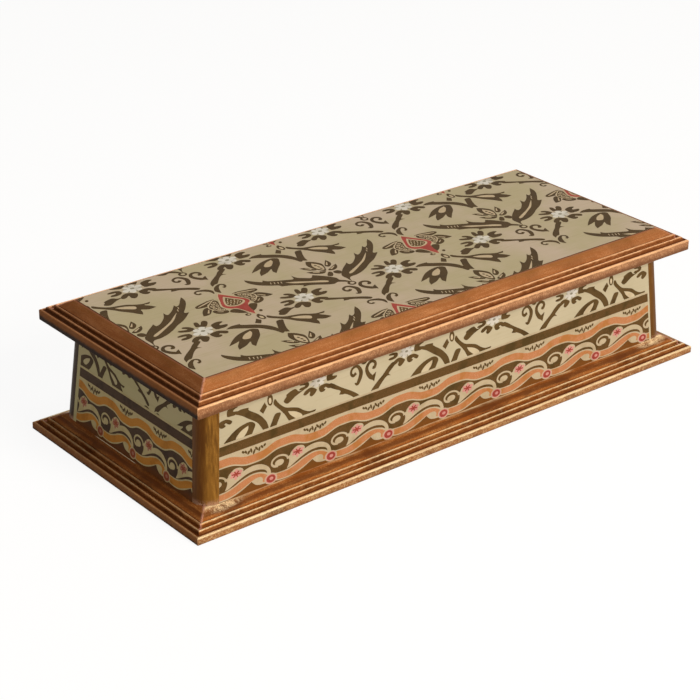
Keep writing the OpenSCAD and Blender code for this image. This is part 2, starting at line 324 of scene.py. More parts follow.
@dataclass(frozen=True)
class GiltPaint:
    """Copper-gilt paint over gesso on a reeded rail, with painted highlights on its beads and rim and painted shade in
    its hollows.

    Places across the section are in millimetres in from the rim's outer face.
    """

    BEADS: ClassVar[tuple[Point, ...]] = ((2.55, 3.35), (5.0, 5.8))
    HOLLOWS: ClassVar[tuple[tuple, ...]] = ((1.15, 2.25, 0.3, 1.0), (3.75, 4.7, 0.2, 0.65), (6.0, 6.35, 0.2, 0.4))
    # Where a painted highlight line runs along the plinth's band, in from the rim.
    HIGHLIGHT_LINE: ClassVar[Point] = (10.3, 13.0)
    DULL_LINE: ClassVar[Point] = (7.3, 9.0)
    # Middle and size of the painted highlight on the plinth by each post's foot.
    FOOT_GLINT_AT: ClassVar[Point] = (130.5, 55.4)
    FOOT_GLINT_SIZE: ClassVar[Point] = (10.0, 2.2)
    # Where the painted highlight runs along the left plinth at the wall's foot.
    JUNCTION_GLINT: ClassVar[Point] = (10.15, 10.75)

    name: str
    rim_x: float
    rim_y: float
    rim_top: float
    width: float = 12.0
    body: str = "#995c2f"
    bright: str = "#d99a66"
    thin: str = "#70401a"
    # Colour of the painted highlights on the beads, the rim's top edge and the plinth's band; also used for the rim's
    # mottle.
    crest: str = "#ffcb98"
    shaded: str = "#441f04"
    aged: str = "#8a5a24"
    rubbed: str = "#b08a6c"
    worn: float = 0.40
    # Strength of the plinth's darker streak, its painted highlight line and patches, and how much it lightens the
    # painted shade on short sides.
    streak: float = 0.0
    metallic: float = 0.25
    roughness: float = 0.42

    def mix(self) -> bpy.types.Material:
        """Mixes the finish.

        Returns:
            The material.
        """
        r = Recipe(self.name)
        x, y, z = r.axes()
        from_end, from_face = self.rim_x - abs(x), self.rim_y - abs(y)
        inward = from_end.lesser(from_face)
        short = (from_face - from_end).span(0.0, 0.3)
        long = 1 - short
        cloud = r.noise(48, detail=5, rough=0.6)
        patch = r.noise(300, detail=4, rough=0.65)
        dust = r.noise(2100, detail=2, rough=0.7)
        along = r.noise(620, (0.10, 1.0, 1.0), rough=0.6) * long + r.noise(620, (1.0, 0.10, 1.0), rough=0.6) * short
        wander, lines = inward + (patch - 0.5) * 0.6, inward + (along - 0.5) * 2.5

        above = z.span(self.rim_top - 5.15, self.rim_top - 4.9)
        # Painted highlight masks: edge is the rim's top edge, and high adds the bead crests to it.
        edge = (1 - inward.span(0.6, 1.1)) * (z + (patch - 0.5) * 1.2).span(self.rim_top - 1.0, self.rim_top - 0.4)
        rim = (1 - inward.span(0.3, 0.9)) * (1 - edge)
        outer, inner = (wander.between(*bead) for bead in self.BEADS)
        high = edge.greater((outer + inner) * above)
        highlight_mottle = (0.82 + (dust - 0.5) * 0.8 + (along - 0.5) * 1.0 + (cloud - 0.5) * 0.8).clamped()
        # The hollows between the beads, where painted shade darkens the paint.
        lip, cove, groove = (wander.between(start, end, soft) * depth for start, end, soft, depth in self.HOLLOWS)
        low = lip.greater(cove).greater(groove) * above
        face = 1 - inward.span(0.1, 0.4)
        # painted shade on the lower part of the rim's face
        under = face * (1 - (z + (patch - 0.5) * 2.0).span(self.rim_top - 4.3, self.rim_top - 2.0))
        # painted shade on the lower part of the rim on the short sides
        end_rim_shade = face * (1 - (z + (patch - 0.5) * 1.4).span(self.rim_top - 3.7, self.rim_top - 1.7)) * short
        # painted highlight on the plinth by each post's foot
        off_x = (abs(x) - self.FOOT_GLINT_AT[0]) / self.FOOT_GLINT_SIZE[0]
        off_y = (abs(y) - self.FOOT_GLINT_AT[1] + (along - 0.5) * 3) / self.FOOT_GLINT_SIZE[1]
        foot_glint = (1 - (off_x ** 2 + off_y ** 2).span(0.0, 1.6)) * (dust + patch).span(0.8, 1.15) * long * self.streak
        # painted highlight on the left plinth where it meets the wall
        junction_glint = from_end.between(*self.JUNCTION_GLINT, 0.12) * y.span(-5.0, -2.0) * (1 - y.span(25.0, 29.0))
        joint = inward.between(self.width - 1.0, self.width + 0.5, 0.2) * above
        crack = inward.between(self.width - 0.42, self.width + 0.5, 0.12) * above
        mitre = abs(from_end - from_face) + (patch - 0.5) * 1.2
        filler = (1 - mitre.span(0.45, 1.1)) * inward.span(2.4, 3.4) * (patch * 0.5 + cloud * 0.5).span(0.36, 0.50)

        tone = r.layered(
            self.body,
            (self.bright, (dust * 0.5 + along * 0.5).span(0.44, 0.62) * self.worn),
            (self.thin, (cloud * 0.6 + along * 0.4).span(0.47, 0.62) * self.worn * 1.3),
            (self.rubbed, rim * 0.30),
            (self.crest, rim * (dust * 0.7 + patch * 0.3).span(0.46, 0.64) * 0.32),
            # painted highlight on the bead crests and the rim's top edge
            (self.crest, high * highlight_mottle * (1 - edge * 0.2) * (1 - short * 0.6)),
            (self.thin, lines.between(*self.DULL_LINE, 0.5) * self.streak * 0.75),
            (self.aged, inward.span(7.5, 11.5) * (0.35 + (cloud - 0.5) * 1.6).clamped()),
            # painted highlight along the plinth's band
            (self.crest, lines.between(*self.HIGHLIGHT_LINE, 0.6) * long * self.streak * 0.62),
            # painted shade in the hollows
            ("#5c2c0a", low * 0.95),
            # painted shade on the short sides, darkest in their hollows; their rim face is painted lit brown above and
            # near black below
            (self.shaded, short * (0.52 - self.streak * 0.28)),
            ("#1b0e05", short * low * (0.55 - self.streak * 0.35)),
            # painted shade low on the rim's face
            ("#5e371d", under * 0.70),
            ("#8a5220", face * short * 0.75),
            ("#0b0805", end_rim_shade * 0.93),
            # painted highlight by each post's foot
            ("#ffe2b0", foot_glint * 0.8),
            # painted highlight on the left plinth at the wall's foot
            ("#fff2dc", junction_glint * (1 - x.span(-1.0, 1.0)) * self.streak * 0.85),
            ("#8f5a44", joint * 0.5),
            ("#3a2413", crack * 0.8),
            ("#c08a74", filler * 0.8))
        rough = self.roughness + (cloud - 0.5) * 0.3 + low * 0.25 - high * 0.1 + short * 0.2
        relief = r.specks(900).span(0.10, 0.42) * 0.4 + dust * 0.3 + along * 0.3
        return r.surface(Base_Color=tone, Metallic=(1 - short * 0.9) * self.metallic, Specular_IOR_Level=LOW_GLOSS,
                         Roughness=rough.clamped(), Normal=r.bump(relief, 0.00013, 0.6))


@dataclass(frozen=True)
class PostPaint:
    """Thin olive gilt wash on the corner beads, with painted shade round the corner and deeper painted shade on the
    back posts.
    """

    name: str = "gilt_posts"
    body: str = "#875c22"
    bright: str = "#ab7c36"
    thin: str = "#50300f"
    shaded: str = "#5a320c"
    half_x: float = 135.7
    half_y: float = 50.7
    lean: float = 0.0822
    joint: float = 55.2

    def mix(self) -> bpy.types.Material:
        """Mixes the finish.

        Returns:
            The material.
        """
        r = Recipe(self.name)
        x, y, z = r.axes()
        spread = (self.joint - z) * self.lean
        round_corner = (abs(x) - spread - self.half_x) - (abs(y) - spread - self.half_y)
        streak = r.noise(900, (1.0, 1.0, 0.07), rough=0.6)
        cloud = r.noise(90, (1.0, 1.0, 0.5), detail=4, rough=0.6)
        dust = r.noise(2100, detail=2, rough=0.7)
        # turned: the side round the corner from the front, which gets painted shade
        turned = (round_corner + (cloud - 0.5) * 1.5).span(-2.2, 1.2)
        raised = (z + (dust - 0.5) * 3.0 + (cloud - 0.5) * 4.0).span(9.5, 12.0)
        tone = r.layered(
            self.body,
            (self.bright, (streak * 0.7 + dust * 0.3).span(0.48, 0.66) * 0.7),
            (self.thin, (streak * 0.5 + cloud * 0.5).span(0.50, 0.36) * 0.6),
            # painted shade round the corner, and deeper painted shade on the back posts
            (self.shaded, turned * 0.8),
            ("#1a170c", turned * y.span(30.0, 45.0) * 0.8),
            ("#55300f", x.span(118.0, 134.0) * 0.65),
            ("#c39a84", (1 - raised) * (cloud + dust * 0.5).span(0.68, 0.82) * 0.7))
        return r.surface(Base_Color=tone, Metallic=0.15, Roughness=(0.44 + (cloud - 0.5) * 0.3).clamped(),
                         Specular_IOR_Level=LOW_GLOSS, Normal=r.bump(streak * 0.5 + dust * 0.5, 0.00009, 0.6))


@dataclass(frozen=True)
class SheetGround:
    """Pale lacquered veneer ground of a decorated sheet, with faint grain along its length."""

    name: str
    base: str
    cloud_colour: str
    fleck: str
    grain: Triple = (0.05, 1.0, 1.0)

    def mix(self) -> bpy.types.Material:
        """Mixes the finish.

        Returns:
            The material.
        """
        r = Recipe(self.name)
        cloud = r.noise(26, detail=4, rough=0.55)
        grain = r.noise(1100, self.grain, detail=4, rough=0.6)
        tone = r.layered(
            self.base,
            (self.cloud_colour, cloud.span(0.35, 0.68)),
            (self.fleck, grain.span(0.50, 0.72) * 0.22),
            (self.fleck, (1 - r.specks(420, self.grain).span(0.05, 0.18)) * 0.25))
        return r.surface(Base_Color=tone, Roughness=(0.42 + grain * 0.16).clamped(),
                         Normal=r.bump(grain, 0.00002, 0.4), Specular_IOR_Level=LOW_GLOSS)


@dataclass(frozen=True)
class InlayColour:
    """One colour of the pieced pattern, unevenly soaked and slightly worn."""

    name: str
    base: str
    light: str
    dark: str
    strength: float = 0.5
    foot: Optional[str] = None

    def mix(self) -> bpy.types.Material:
        """Mixes the finish.

        Returns:
            The material.
        """
        r = Recipe(self.name)
        cloud = r.noise(140, detail=4, rough=0.6)
        fine = r.noise(1900, rough=0.65)
        tone = r.layered(
            self.base,
            (self.light, fine.span(0.50, 0.70) * self.strength),
            (self.dark, cloud.span(0.46, 0.66) * self.strength))
        if self.foot:
            _, _, z = r.axes()
            tone = r.layered(tone, (self.foot, (1 - z.span(9.5, 15.0)) * 0.85))
        return r.surface(Base_Color=tone, Roughness=(0.44 + fine * 0.14).clamped(),
                         Normal=r.bump(fine, 0.000015, 0.4), Specular_IOR_Level=0.06)


@dataclass(frozen=True)
class BareWood:
    """Plain sanded softwood with its grain along one axis."""

    name: str
    along: int

    def mix(self) -> bpy.types.Material:
        """Mixes the finish.

        Returns:
            The material.
        """
        r = Recipe(self.name)
        stretch = tuple(0.04 if i == self.along else 1.0 for i in range(3))
        rings = r.noise(190, stretch, rough=0.55, warp=0.6)
        fibre = r.noise(2400, stretch, rough=0.7)
        late = (rings * 7).zigzag(0.5) * 2
        tone = r.layered(
            "#c9a26c",
            ("#a97c48", late.span(0.35, 0.95) * 0.8),
            ("#8a6136", fibre.span(0.55, 0.75) * 0.4))
        return r.surface(Base_Color=tone, Roughness=(0.62 + fibre * 0.2).clamped(), Normal=r.bump(fibre, 0.00004, 0.5))


@dataclass(frozen=True)
class PileCloth:
    """Velvet or felt: matted pile with a soft sheen."""

    name: str
    base: str
    light: str
    dark: str
    sheen: float
    pile: float

    def mix(self) -> bpy.types.Material:
        """Mixes the finish.

        Returns:
            The material.
        """
        r = Recipe(self.name)
        nap = r.noise(self.pile, detail=4, rough=0.75)
        brushed = r.noise(60, (1.0, 0.45, 1.0), rough=0.55, warp=0.5)
        tone = r.layered(
            self.base,
            (self.light, brushed.span(0.40, 0.75) * 0.3),
            (self.dark, nap.span(0.48, 0.70) * 0.7))
        return r.surface(Base_Color=tone, Roughness=0.92, Sheen_Weight=self.sheen, Sheen_Roughness=0.35,
                         Specular_IOR_Level=0.2, Normal=r.bump(nap, 0.00012, 0.7))


@dataclass(frozen=True)
class OldBrass:
    """Stamped brass, rubbed bright on its high places and brown in its scratches."""

    name: str = "brass_finish"

    def mix(self) -> bpy.types.Material:
        """Mixes the finish.

        Returns:
            The material.
        """
        r = Recipe(self.name)
        cloud = r.noise(420, detail=4, rough=0.6)
        drag = r.noise(2600, (0.08, 1.0, 1.0), detail=2, rough=0.6)
        tone = r.layered("#d3ad58", ("#8f6a2a", cloud.span(0.45, 0.72) * 0.6))
        return r.surface(Base_Color=tone, Metallic=1.0, Roughness=(0.26 + cloud * 0.18 + drag * 0.08).clamped(),
                         Normal=r.bump(drag, 0.00002, 0.4))


# ---- Modelling ------------------------------------------------------------------------


class Bench:
    """The modelling steps that the new pieces share."""

    @staticmethod
    def clear() -> None:
        """Leaves nothing selected."""
        bpy.ops.object.select_all(action="DESELECT")

    @staticmethod
    def pick(pieces: Iterable[bpy.types.Object]) -> None:
        """Selects only these pieces and makes the first one active.

        Args:
            pieces: at least one piece.
        """
        Bench.clear()
        pieces = list(pieces)
        for piece in pieces:
            piece.select_set(True)
        bpy.context.view_layer.objects.active = pieces[0]

    @staticmethod
    def turned_out() -> None:
        """Turns every face of the piece in work outwards, which ends the work on it."""
        bpy.ops.mesh.select_all(action="SELECT")
        bpy.ops.mesh.normals_make_consistent(inside=False)
        bpy.ops.object.mode_set(mode="OBJECT")

    @staticmethod
    def drawn(name: str, outline: list[Point], high: float) -> bpy.types.Object:
        """Draws a flat closed shape by extruding a corner round it, fills it and thickens it upwards.

        Args:
            name: the piece's name.
            outline: corners in millimetres.
            high: height of its top in millimetres.

        Returns:
            The piece.
        """
        Bench.clear()
        bpy.ops.mesh.primitive_plane_add(size=MM)
        piece = bpy.context.object
        piece.name = piece.data.name = name
        bpy.ops.object.mode_set(mode="EDIT")
        bpy.ops.mesh.select_all(action="SELECT")
        bpy.ops.mesh.merge(type="CENTER")
        last = Vector((*outline[0], SUNK)) * MM
        bpy.ops.transform.translate(value=last)
        for spot in outline[1:]:
            corner = Vector((*spot, SUNK)) * MM
            bpy.ops.mesh.extrude_region_move(TRANSFORM_OT_translate={"value": corner - last})
            last = corner
        bpy.ops.mesh.select_all(action="SELECT")
        bpy.ops.mesh.edge_face_add()
        bpy.ops.mesh.extrude_region_move(TRANSFORM_OT_translate={"value": (0, 0, (high - SUNK) * MM)})
        Bench.turned_out()
        return piece

    @staticmethod
    def copy(piece: bpy.types.Object, place: Matrix) -> bpy.types.Object:
        """Copies a piece with its own mesh and moves that mesh.

        Args:
            piece: the pattern piece.
            place: where the copy goes.

        Returns:
            The copy.
        """
        made = piece.copy()
        made.data = piece.data.copy()
        made.data.transform(place)
        bpy.context.collection.objects.link(made)
        return made

    @staticmethod
    def joined(pieces: list[bpy.types.Object], name: str) -> bpy.types.Object:
        """Joins pieces into one.

        Args:
            pieces: at least one piece.
            name: the joined piece's name.

        Returns:
            The joined piece.
        """
        Bench.pick(pieces)
        if len(pieces) > 1:
            bpy.ops.object.join()
        made = bpy.context.view_layer.objects.active
        made.name = made.data.name = name
        return made

    @staticmethod
    def cut(piece: bpy.types.Object, planes: Iterable[tuple[Point, Point]]) -> None:
        """Cuts a flat piece along upright planes and closes the cut sides.

        Args:
            piece: the flat piece.
            planes: a point of each plane in millimetres, and the direction that is cut off.
        """
        Bench.pick([piece])
        bpy.ops.object.mode_set(mode="EDIT")
        for (x, y), way in planes:
            bpy.ops.mesh.select_all(action="SELECT")
            bpy.ops.mesh.bisect(plane_co=(x * MM, y * MM, 0), plane_no=(*way, 0), use_fill=True, clear_outer=True)
        bpy.ops.mesh.select_all(action="SELECT")
        bpy.ops.mesh.remove_doubles(threshold=MERGED * MM)
        Bench.turned_out()

    @staticmethod
    def dressed(piece: bpy.types.Object, finish: bpy.types.Material, body: str, slot: str) -> None:
        """Gives a finished piece its material and its body.

        Args:
            piece: the piece.
            finish: its material.
            body: the body it moves with.
            slot: not used.
        """
        piece.data.materials.clear()
        piece.data.materials.append(finish)
        for face in piece.data.polygons:
            face.material_index = 0
        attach(piece, body)


def curve_through(points: list[tuple], closed: bool = True, steps: int = 3) -> list[Point]:
    """Runs a smooth line through points; a third entry in a point makes it a sharp corner.

    Args:
        points: the points.
        closed: whether the line returns to its start.
        steps: places per stretch.

    Returns:
        Points along the line.
    """
    count = len(points)
    sharp = [len(p) > 2 for p in points]
    at = [Vector(p[:2]) for p in points]
    made: list[Point] = []
    for i in range(count if closed else count - 1):
        a, b = at[i], at[(i + 1) % count]
        before = at[i - 1] if closed or i else a
        after = at[(i + 2) % count] if closed or i + 2 < count else b
        leave = (b - a) if sharp[i] else (b - before) / 2
        arrive = (b - a) if sharp[(i + 1) % count] else (after - a) / 2
        for k in range(steps):
            t = k / steps
            spot = ((2 * t ** 3 - 3 * t ** 2 + 1) * a + (t ** 3 - 2 * t ** 2 + t) * leave
                    + (3 * t ** 2 - 2 * t ** 3) * b + (t ** 3 - t ** 2) * arrive)
            made.append((spot.x, spot.y))
    if not closed:
        made.append(tuple(at[-1]))
    return made


def ribbon(points: list[Point], widths: list[float], steps: int = 4) -> list[Point]:
    """The outline of a band of changing width along a smooth line.

    Args:
        points: the middle line.
        widths: the band's width at each of them.
        steps: places per stretch.

    Returns:
        The outline.
    """
    line = curve_through(points, closed=False, steps=steps)
    sides: tuple[list, list] = ([], [])
    for i, (x, y) in enumerate(line):
        x0, y0 = line[max(i - 1, 0)]
        x1, y1 = line[min(i + 1, len(line) - 1)]
        long = math.hypot(x1 - x0, y1 - y0) or 1.0
        k = min(i / steps, len(widths) - 1.001)
        wide = widths[int(k)] + (widths[int(k) + 1] - widths[int(k)]) * (k - int(k))
        nx, ny = -(y1 - y0) / long * wide / 2, (x1 - x0) / long * wide / 2
        sides[0].append((x + nx, y + ny))
        sides[1].append((x - nx, y - ny))
    return sides[0] + sides[1][::-1]


def oval(x: float, y: float, across: float, tall: float, parts: int = 16, turn: float = 0.0) -> list[Point]:
    """An ellipse.

    Args:
        x: middle.
        y: middle.
        across: half its width.
        tall: half its height.
        parts: its corners.
        turn: degrees it is turned by.

    Returns:
        The outline.
    """
    c, s = math.cos(math.radians(turn)), math.sin(math.radians(turn))
    spots = [(across * math.cos(a), tall * math.sin(a)) for a in (2 * math.pi * k / parts for k in range(parts))]
    return [(x + u * c - v * s, y + u * s + v * c) for u, v in spots]


def moved(x: float, y: float) -> Matrix:
    """A move in a sheet's own plane, in millimetres."""
    return Matrix.Translation(Vector((x, y, 0)) * MM)


def flipped(outline: list[tuple]) -> list[tuple]:
    """The mirror image of an outline about the vertical axis."""
    return [(-p[0],) + tuple(p[1:]) for p in outline]


# ---- Motifs of the flower pattern -----------------------------------------------------


@dataclass
class Shape:
    """One flat shape of a motif."""

    tint: Tint
    outline: list[Point]
    level: int = 1


class Motif:
    """A motif that is modelled once in each of its colours and then copied."""

    def __init__(self, name: str, shapes: list[Shape], order: int = 0) -> None:
        """Models the motif, each shape a hair higher than the last so that no two tops lie in one plane.

        Args:
            name: the motif's name.
            shapes: its flat shapes.
            order: the motif's place in the pattern.
        """
        self.name = name
        drawn: dict[Tint, list[bpy.types.Object]] = {tint: [] for tint in Tint}
        for k, shape in enumerate(shapes):
            high = PROUD + LAYER * shape.level + HAIR * (k % HAIRS) + NUDGE * order
            drawn[shape.tint].append(Bench.drawn(name, shape.outline, high))
        self.blanks = {tint: Bench.joined(pieces, f"{name}_{tint.value}_blank")
                       for tint, pieces in drawn.items() if pieces}

    def remove(self) -> None:
        """Puts the blanks away."""
        for blank in self.blanks.values():
            bpy.data.objects.remove(blank)


def smooth(tint: Tint, outlines: Iterable[list[tuple]], level: int = 1) -> list[Shape]:
    """One smooth shape of a colour for each outline."""
    return [Shape(tint, curve_through(outline), level) for outline in outlines]


def ovals(tint: Tint, level: int, corners: int, *rows: tuple) -> list[Shape]:
    """Ovals of one colour, with the middle, half sizes and turn of each in a row."""
    return [Shape(tint, oval(*row[:4], corners, *row[4:]), level) for row in rows]


def rosette() -> Motif:
    """The open flower: six forked dark petals round six white ones.

    Returns:
        The motif.
    """
    petals = [
        [(5.6, -1.8), (6.0, 2.4), (7.8, 3.6), (10.3, 4.0), (12.2, 3.3), (12.3, 2.4), (10.6, 1.9), (9.4, 0.9),
         (10.0, 0.2), (12.2, -0.3), (12.3, -1.4), (10.3, -2.5), (8.0, -2.4)],
        [(0.1, 5.0), (1.0, 8.0), (2.1, 9.4), (3.2, 8.6), (3.0, 6.9), (2.7, 5.9), (3.6, 6.5), (5.0, 8.2), (6.5, 8.5),
         (7.3, 7.5), (7.0, 6.2), (5.5, 4.3), (3.9, 3.1), (2.0, 4.3)],
        [(-1.4, 4.0), (-1.9, 6.5), (-3.3, 8.0), (-4.9, 8.5), (-5.5, 7.5), (-4.4, 6.5), (-4.1, 5.4), (-5.8, 5.8),
         (-7.8, 6.6), (-8.9, 6.1), (-8.2, 4.9), (-5.8, 3.5), (-4.0, 3.0)],
        [(-5.9, 1.1), (-7.1, 2.1), (-9.5, 2.6), (-11.6, 2.3), (-12.0, 1.5), (-10.7, 1.0), (-8.6, 0.5), (-9.0, -0.4),
         (-11.0, -0.5), (-12.2, -1.1), (-12.2, -1.9), (-10.2, -2.5), (-7.6, -2.1), (-6.1, -0.9)],
        [(-6.5, -2.9), (-8.8, -4.3), (-9.9, -5.9), (-9.0, -7.0), (-7.4, -6.7), (-5.5, -5.4), (-5.7, -7.0),
         (-5.9, -8.1), (-4.8, -9.4), (-3.0, -8.6), (-1.5, -6.8), (-1.1, -5.5), (-2.8, -3.8), (-4.5, -2.8)],
        [(0.6, -4.2), (0.3, -6.3), (1.0, -8.3), (2.6, -9.0), (4.2, -8.3), (4.4, -7.5), (3.6, -6.8), (4.7, -6.0),
         (5.6, -7.0), (7.0, -7.9), (8.2, -7.3), (8.5, -6.0), (7.4, -4.9), (5.5, -3.6), (3.4, -3.5)]]
    shapes = [Shape(Tint.UMBER, curve_through(petal, steps=2)) for petal in petals]
    shapes += ovals(Tint.WHITE, 2, 12, (-1.9, 2.2, 1.6, 1.4), (1.3, 2.6, 1.7, 1.4), (3.7, 0.7, 1.7, 1.3),
                    (2.2, -1.9, 1.6, 1.4), (-1.3, -2.7, 1.6, 1.4), (-3.7, -0.7, 1.8, 1.4))
    shapes += ovals(Tint.WHITE, 1, 14, (0.2, 0.1, 3.1, 2.4)) + ovals(Tint.STONE, 3, 10, (0.2, 0.2, 1.1, 0.9))
    slits = ((-0.4, 3.3, 80), (2.9, 2.1, 40), (3.8, -0.7, -10), (0.6, -3.2, 80), (-3.1, -2.1, 40), (-3.3, 1.0, -20))
    shapes += ovals(Tint.STONE, 3, 8, *((x, y, 1.0, 0.22, turn) for x, y, turn in slits))
    return Motif("rosette", shapes, 1)


def palmette() -> Motif:
    """The red-edged palmette with its lace wings and dark leaves.

    Returns:
        The motif.
    """
    rim = [(0.1, 14.5, 1), (1.9, 12.0), (4.2, 8.4), (6.4, 4.9), (7.8, 2.2), (8.0, 0), (7.2, -1.7), (5.5, -2.9),
           (4.3, -4.4), (3.2, -7.2), (2.4, -10.6), (0.7, -13.9, 1), (-0.9, -10.6), (-1.8, -7.2), (-2.7, -4.9),
           (-3.5, -3.8), (-5.3, -2.8), (-6.7, -0.6), (-6.9, 1.7), (-6.1, 4.1), (-4.3, 7.4), (-2.5, 10.9)]
    drop = [(0, 13.5, 1), (1.4, 11.4), (3.6, 8.0), (5.8, 4.6), (7.1, 2.1), (7.3, 0.2), (6.6, -1.1), (4.9, -2.3),
            (3.6, -4.0), (2.5, -7.0), (1.8, -10.4), (0.6, -13.0, 1), (-0.3, -10.4), (-1.1, -7.0), (-2.0, -4.4),
            (-2.9, -3.2), (-4.7, -2.3), (-6.0, -0.4), (-6.2, 1.6), (-5.4, 3.8), (-3.7, 7.0), (-2.0, 10.5)]
    inner = [(0.1, 9.9, 1), (1.7, 7.6), (3.3, 5.3), (4.9, 3.0), (5.4, 1.2), (4.6, -0.2), (2.8, -1.3), (0.8, -1.8),
             (-1.4, -1.6), (-3.5, -0.5), (-4.4, 0.8), (-4.3, 2.6), (-3.2, 5.0), (-1.4, 8.0)]
    seed = [(0.2, 8.4, 1), (1.4, 6.5), (2.9, 4.4), (4.2, 2.6), (4.5, 1.3), (3.6, 0.3), (1.8, -0.6), (0.2, -0.9),
            (-1.6, -0.6), (-3.1, 0.5), (-3.5, 2.1), (-2.6, 4.4), (-1.1, 6.8)]
    shapes = [Shape(tint, curve_through(outline), level) for level, (tint, outline) in enumerate(
        ((Tint.PALE, rim), (Tint.RED, drop), (Tint.PALE, inner), (Tint.SHADE, seed)), 1)]
    for x, y in ((0.0, 6.3), (-1.3, 4.6), (0.4, 4.4), (1.9, 4.0), (-2.4, 2.9), (-0.8, 2.7), (0.9, 2.4), (2.6, 2.2),
                 (-2.3, 1.0), (-0.6, 0.8), (1.1, 0.6), (2.9, 0.9)):
        shapes.append(Shape(Tint.PALE, ribbon([(x - 0.5, y - 0.55), (x + 0.5, y + 0.6)], [0.5, 0.3], 1), 5))
    wings = [[(-16.6, 7.9), (-15.1, 9.0), (-12.2, 9.7), (-7.9, 10.5), (-4.7, 10.3, 1), (-6.6, 9.0), (-9.2, 7.7),
              (-11.0, 6.7), (-11.6, 5.7), (-14.3, 5.9), (-16.3, 6.6)],
             [(-18.8, -1.4, 1), (-17.5, 1.1), (-15.8, 3.3), (-14.2, 4.5), (-12.3, 4.8), (-11.8, 2.9), (-12.5, 1.1),
              (-13.8, -0.3), (-15.1, -1.4), (-17.0, -1.7)],
             [(-13.0, -0.2), (-12.8, -2.3), (-11.5, -3.9), (-9.8, -4.7), (-8.0, -4.9), (-6.9, -4.1), (-6.9, -2.7),
              (-8.3, -2.0), (-9.6, -0.6), (-10.8, 0.5), (-12.2, 0.4)],
             [(-7.0, -5.1), (-6.1, -6.5), (-3.8, -8.8), (-1.2, -10.3, 1), (-1.5, -7.8), (-2.3, -5.2), (-3.2, -3.9),
              (-4.6, -3.2), (-6.3, -3.9)],
             [(-5.7, 9.4), (-8.3, 7.7), (-10.8, 5.5), (-11.8, 3.6), (-11.2, 1.3), (-9.4, -0.8), (-7.4, -2.1),
              (-6.8, -1.0), (-7.2, 1.6), (-6.1, 4.2), (-4.7, 7.6)]]
    slits = [([(-15.3, 7.4), (-12.3, 8.1), (-8.2, 9.3), (-6.2, 9.5)], [0.3, 0.8, 0.7, 0.2]),
             ([(-15.4, -0.4), (-13.1, 2.6)], [0.9, 0.4]), ([(-11.4, -1.4), (-9.2, -3.0)], [0.3, 0.6]),
             ([(-5.2, 9.9), (-8.4, 7.9), (-11.3, 5.4), (-12.2, 3.4), (-11.5, 1.2), (-9.6, -0.9), (-7.6, -2.3)],
              [0.3, 0.5, 0.6, 0.6, 0.6, 0.6, 0.3])]
    loops = [(-6.6, 7.2, 0.9), (-8.4, 5.9, 1.0), (-9.9, 4.2, 1.1), (-10.1, 2.1, 1.0), (-9.0, 0.3, 1.0),
             (-7.7, -1.0, 0.7), (-7.7, 3.6, 0.9), (-8.0, 1.9, 0.6), (-6.7, 5.2, 0.6)]
    for turn in (lambda o: o, lambda o: [(0.6 + p[0],) + p[1:] for p in flipped(o)]):
        shapes += smooth(Tint.UMBER, [turn(wing) for wing in wings])
        shapes += [Shape(Tint.PALE, ribbon(turn(line), wide), 2) for line, wide in slits]
        for x, y, size in loops:
            (cx, cy), = turn([(x, y)])
            shapes += ovals(Tint.PALE, 3, 10, (cx, cy, size * 0.8, size, 30))
            shapes += ovals(Tint.UMBER, 4, 8, (cx, cy, size * 0.3, size * 0.5, 30))
    return Motif("palmette", shapes, 2)


def bud() -> Motif:
    """The small bud under a palmette, with its side curls and the leaf to its left.

    Returns:
        The motif.
    """
    shapes = [*ovals(Tint.UMBER, 1, 14, (0.6, -17.2, 1.6, 2.8)), *ovals(Tint.PALE, 2, 12, (0.5, -17.6, 0.75, 1.5)),
              *ovals(Tint.UMBER, 1, 10, (1.0, -14.4, 0.7, 0.5)), *ovals(Tint.UMBER, 1, 12, (-2.4, -11.8, 1.4, 1.2)),
              *ovals(Tint.PALE, 2, 8, (-2.1, -11.9, 0.7, 0.6)), *ovals(Tint.UMBER, 1, 12, (4.6, -11.7, 1.1, 0.8, 50))]
    shapes.append(Shape(Tint.UMBER, [(-2.5, -17.5), (-1.3, -19.8), (-3.6, -22.6), (-5.5, -20.7)]))
    return Motif("bud", shapes, 3)


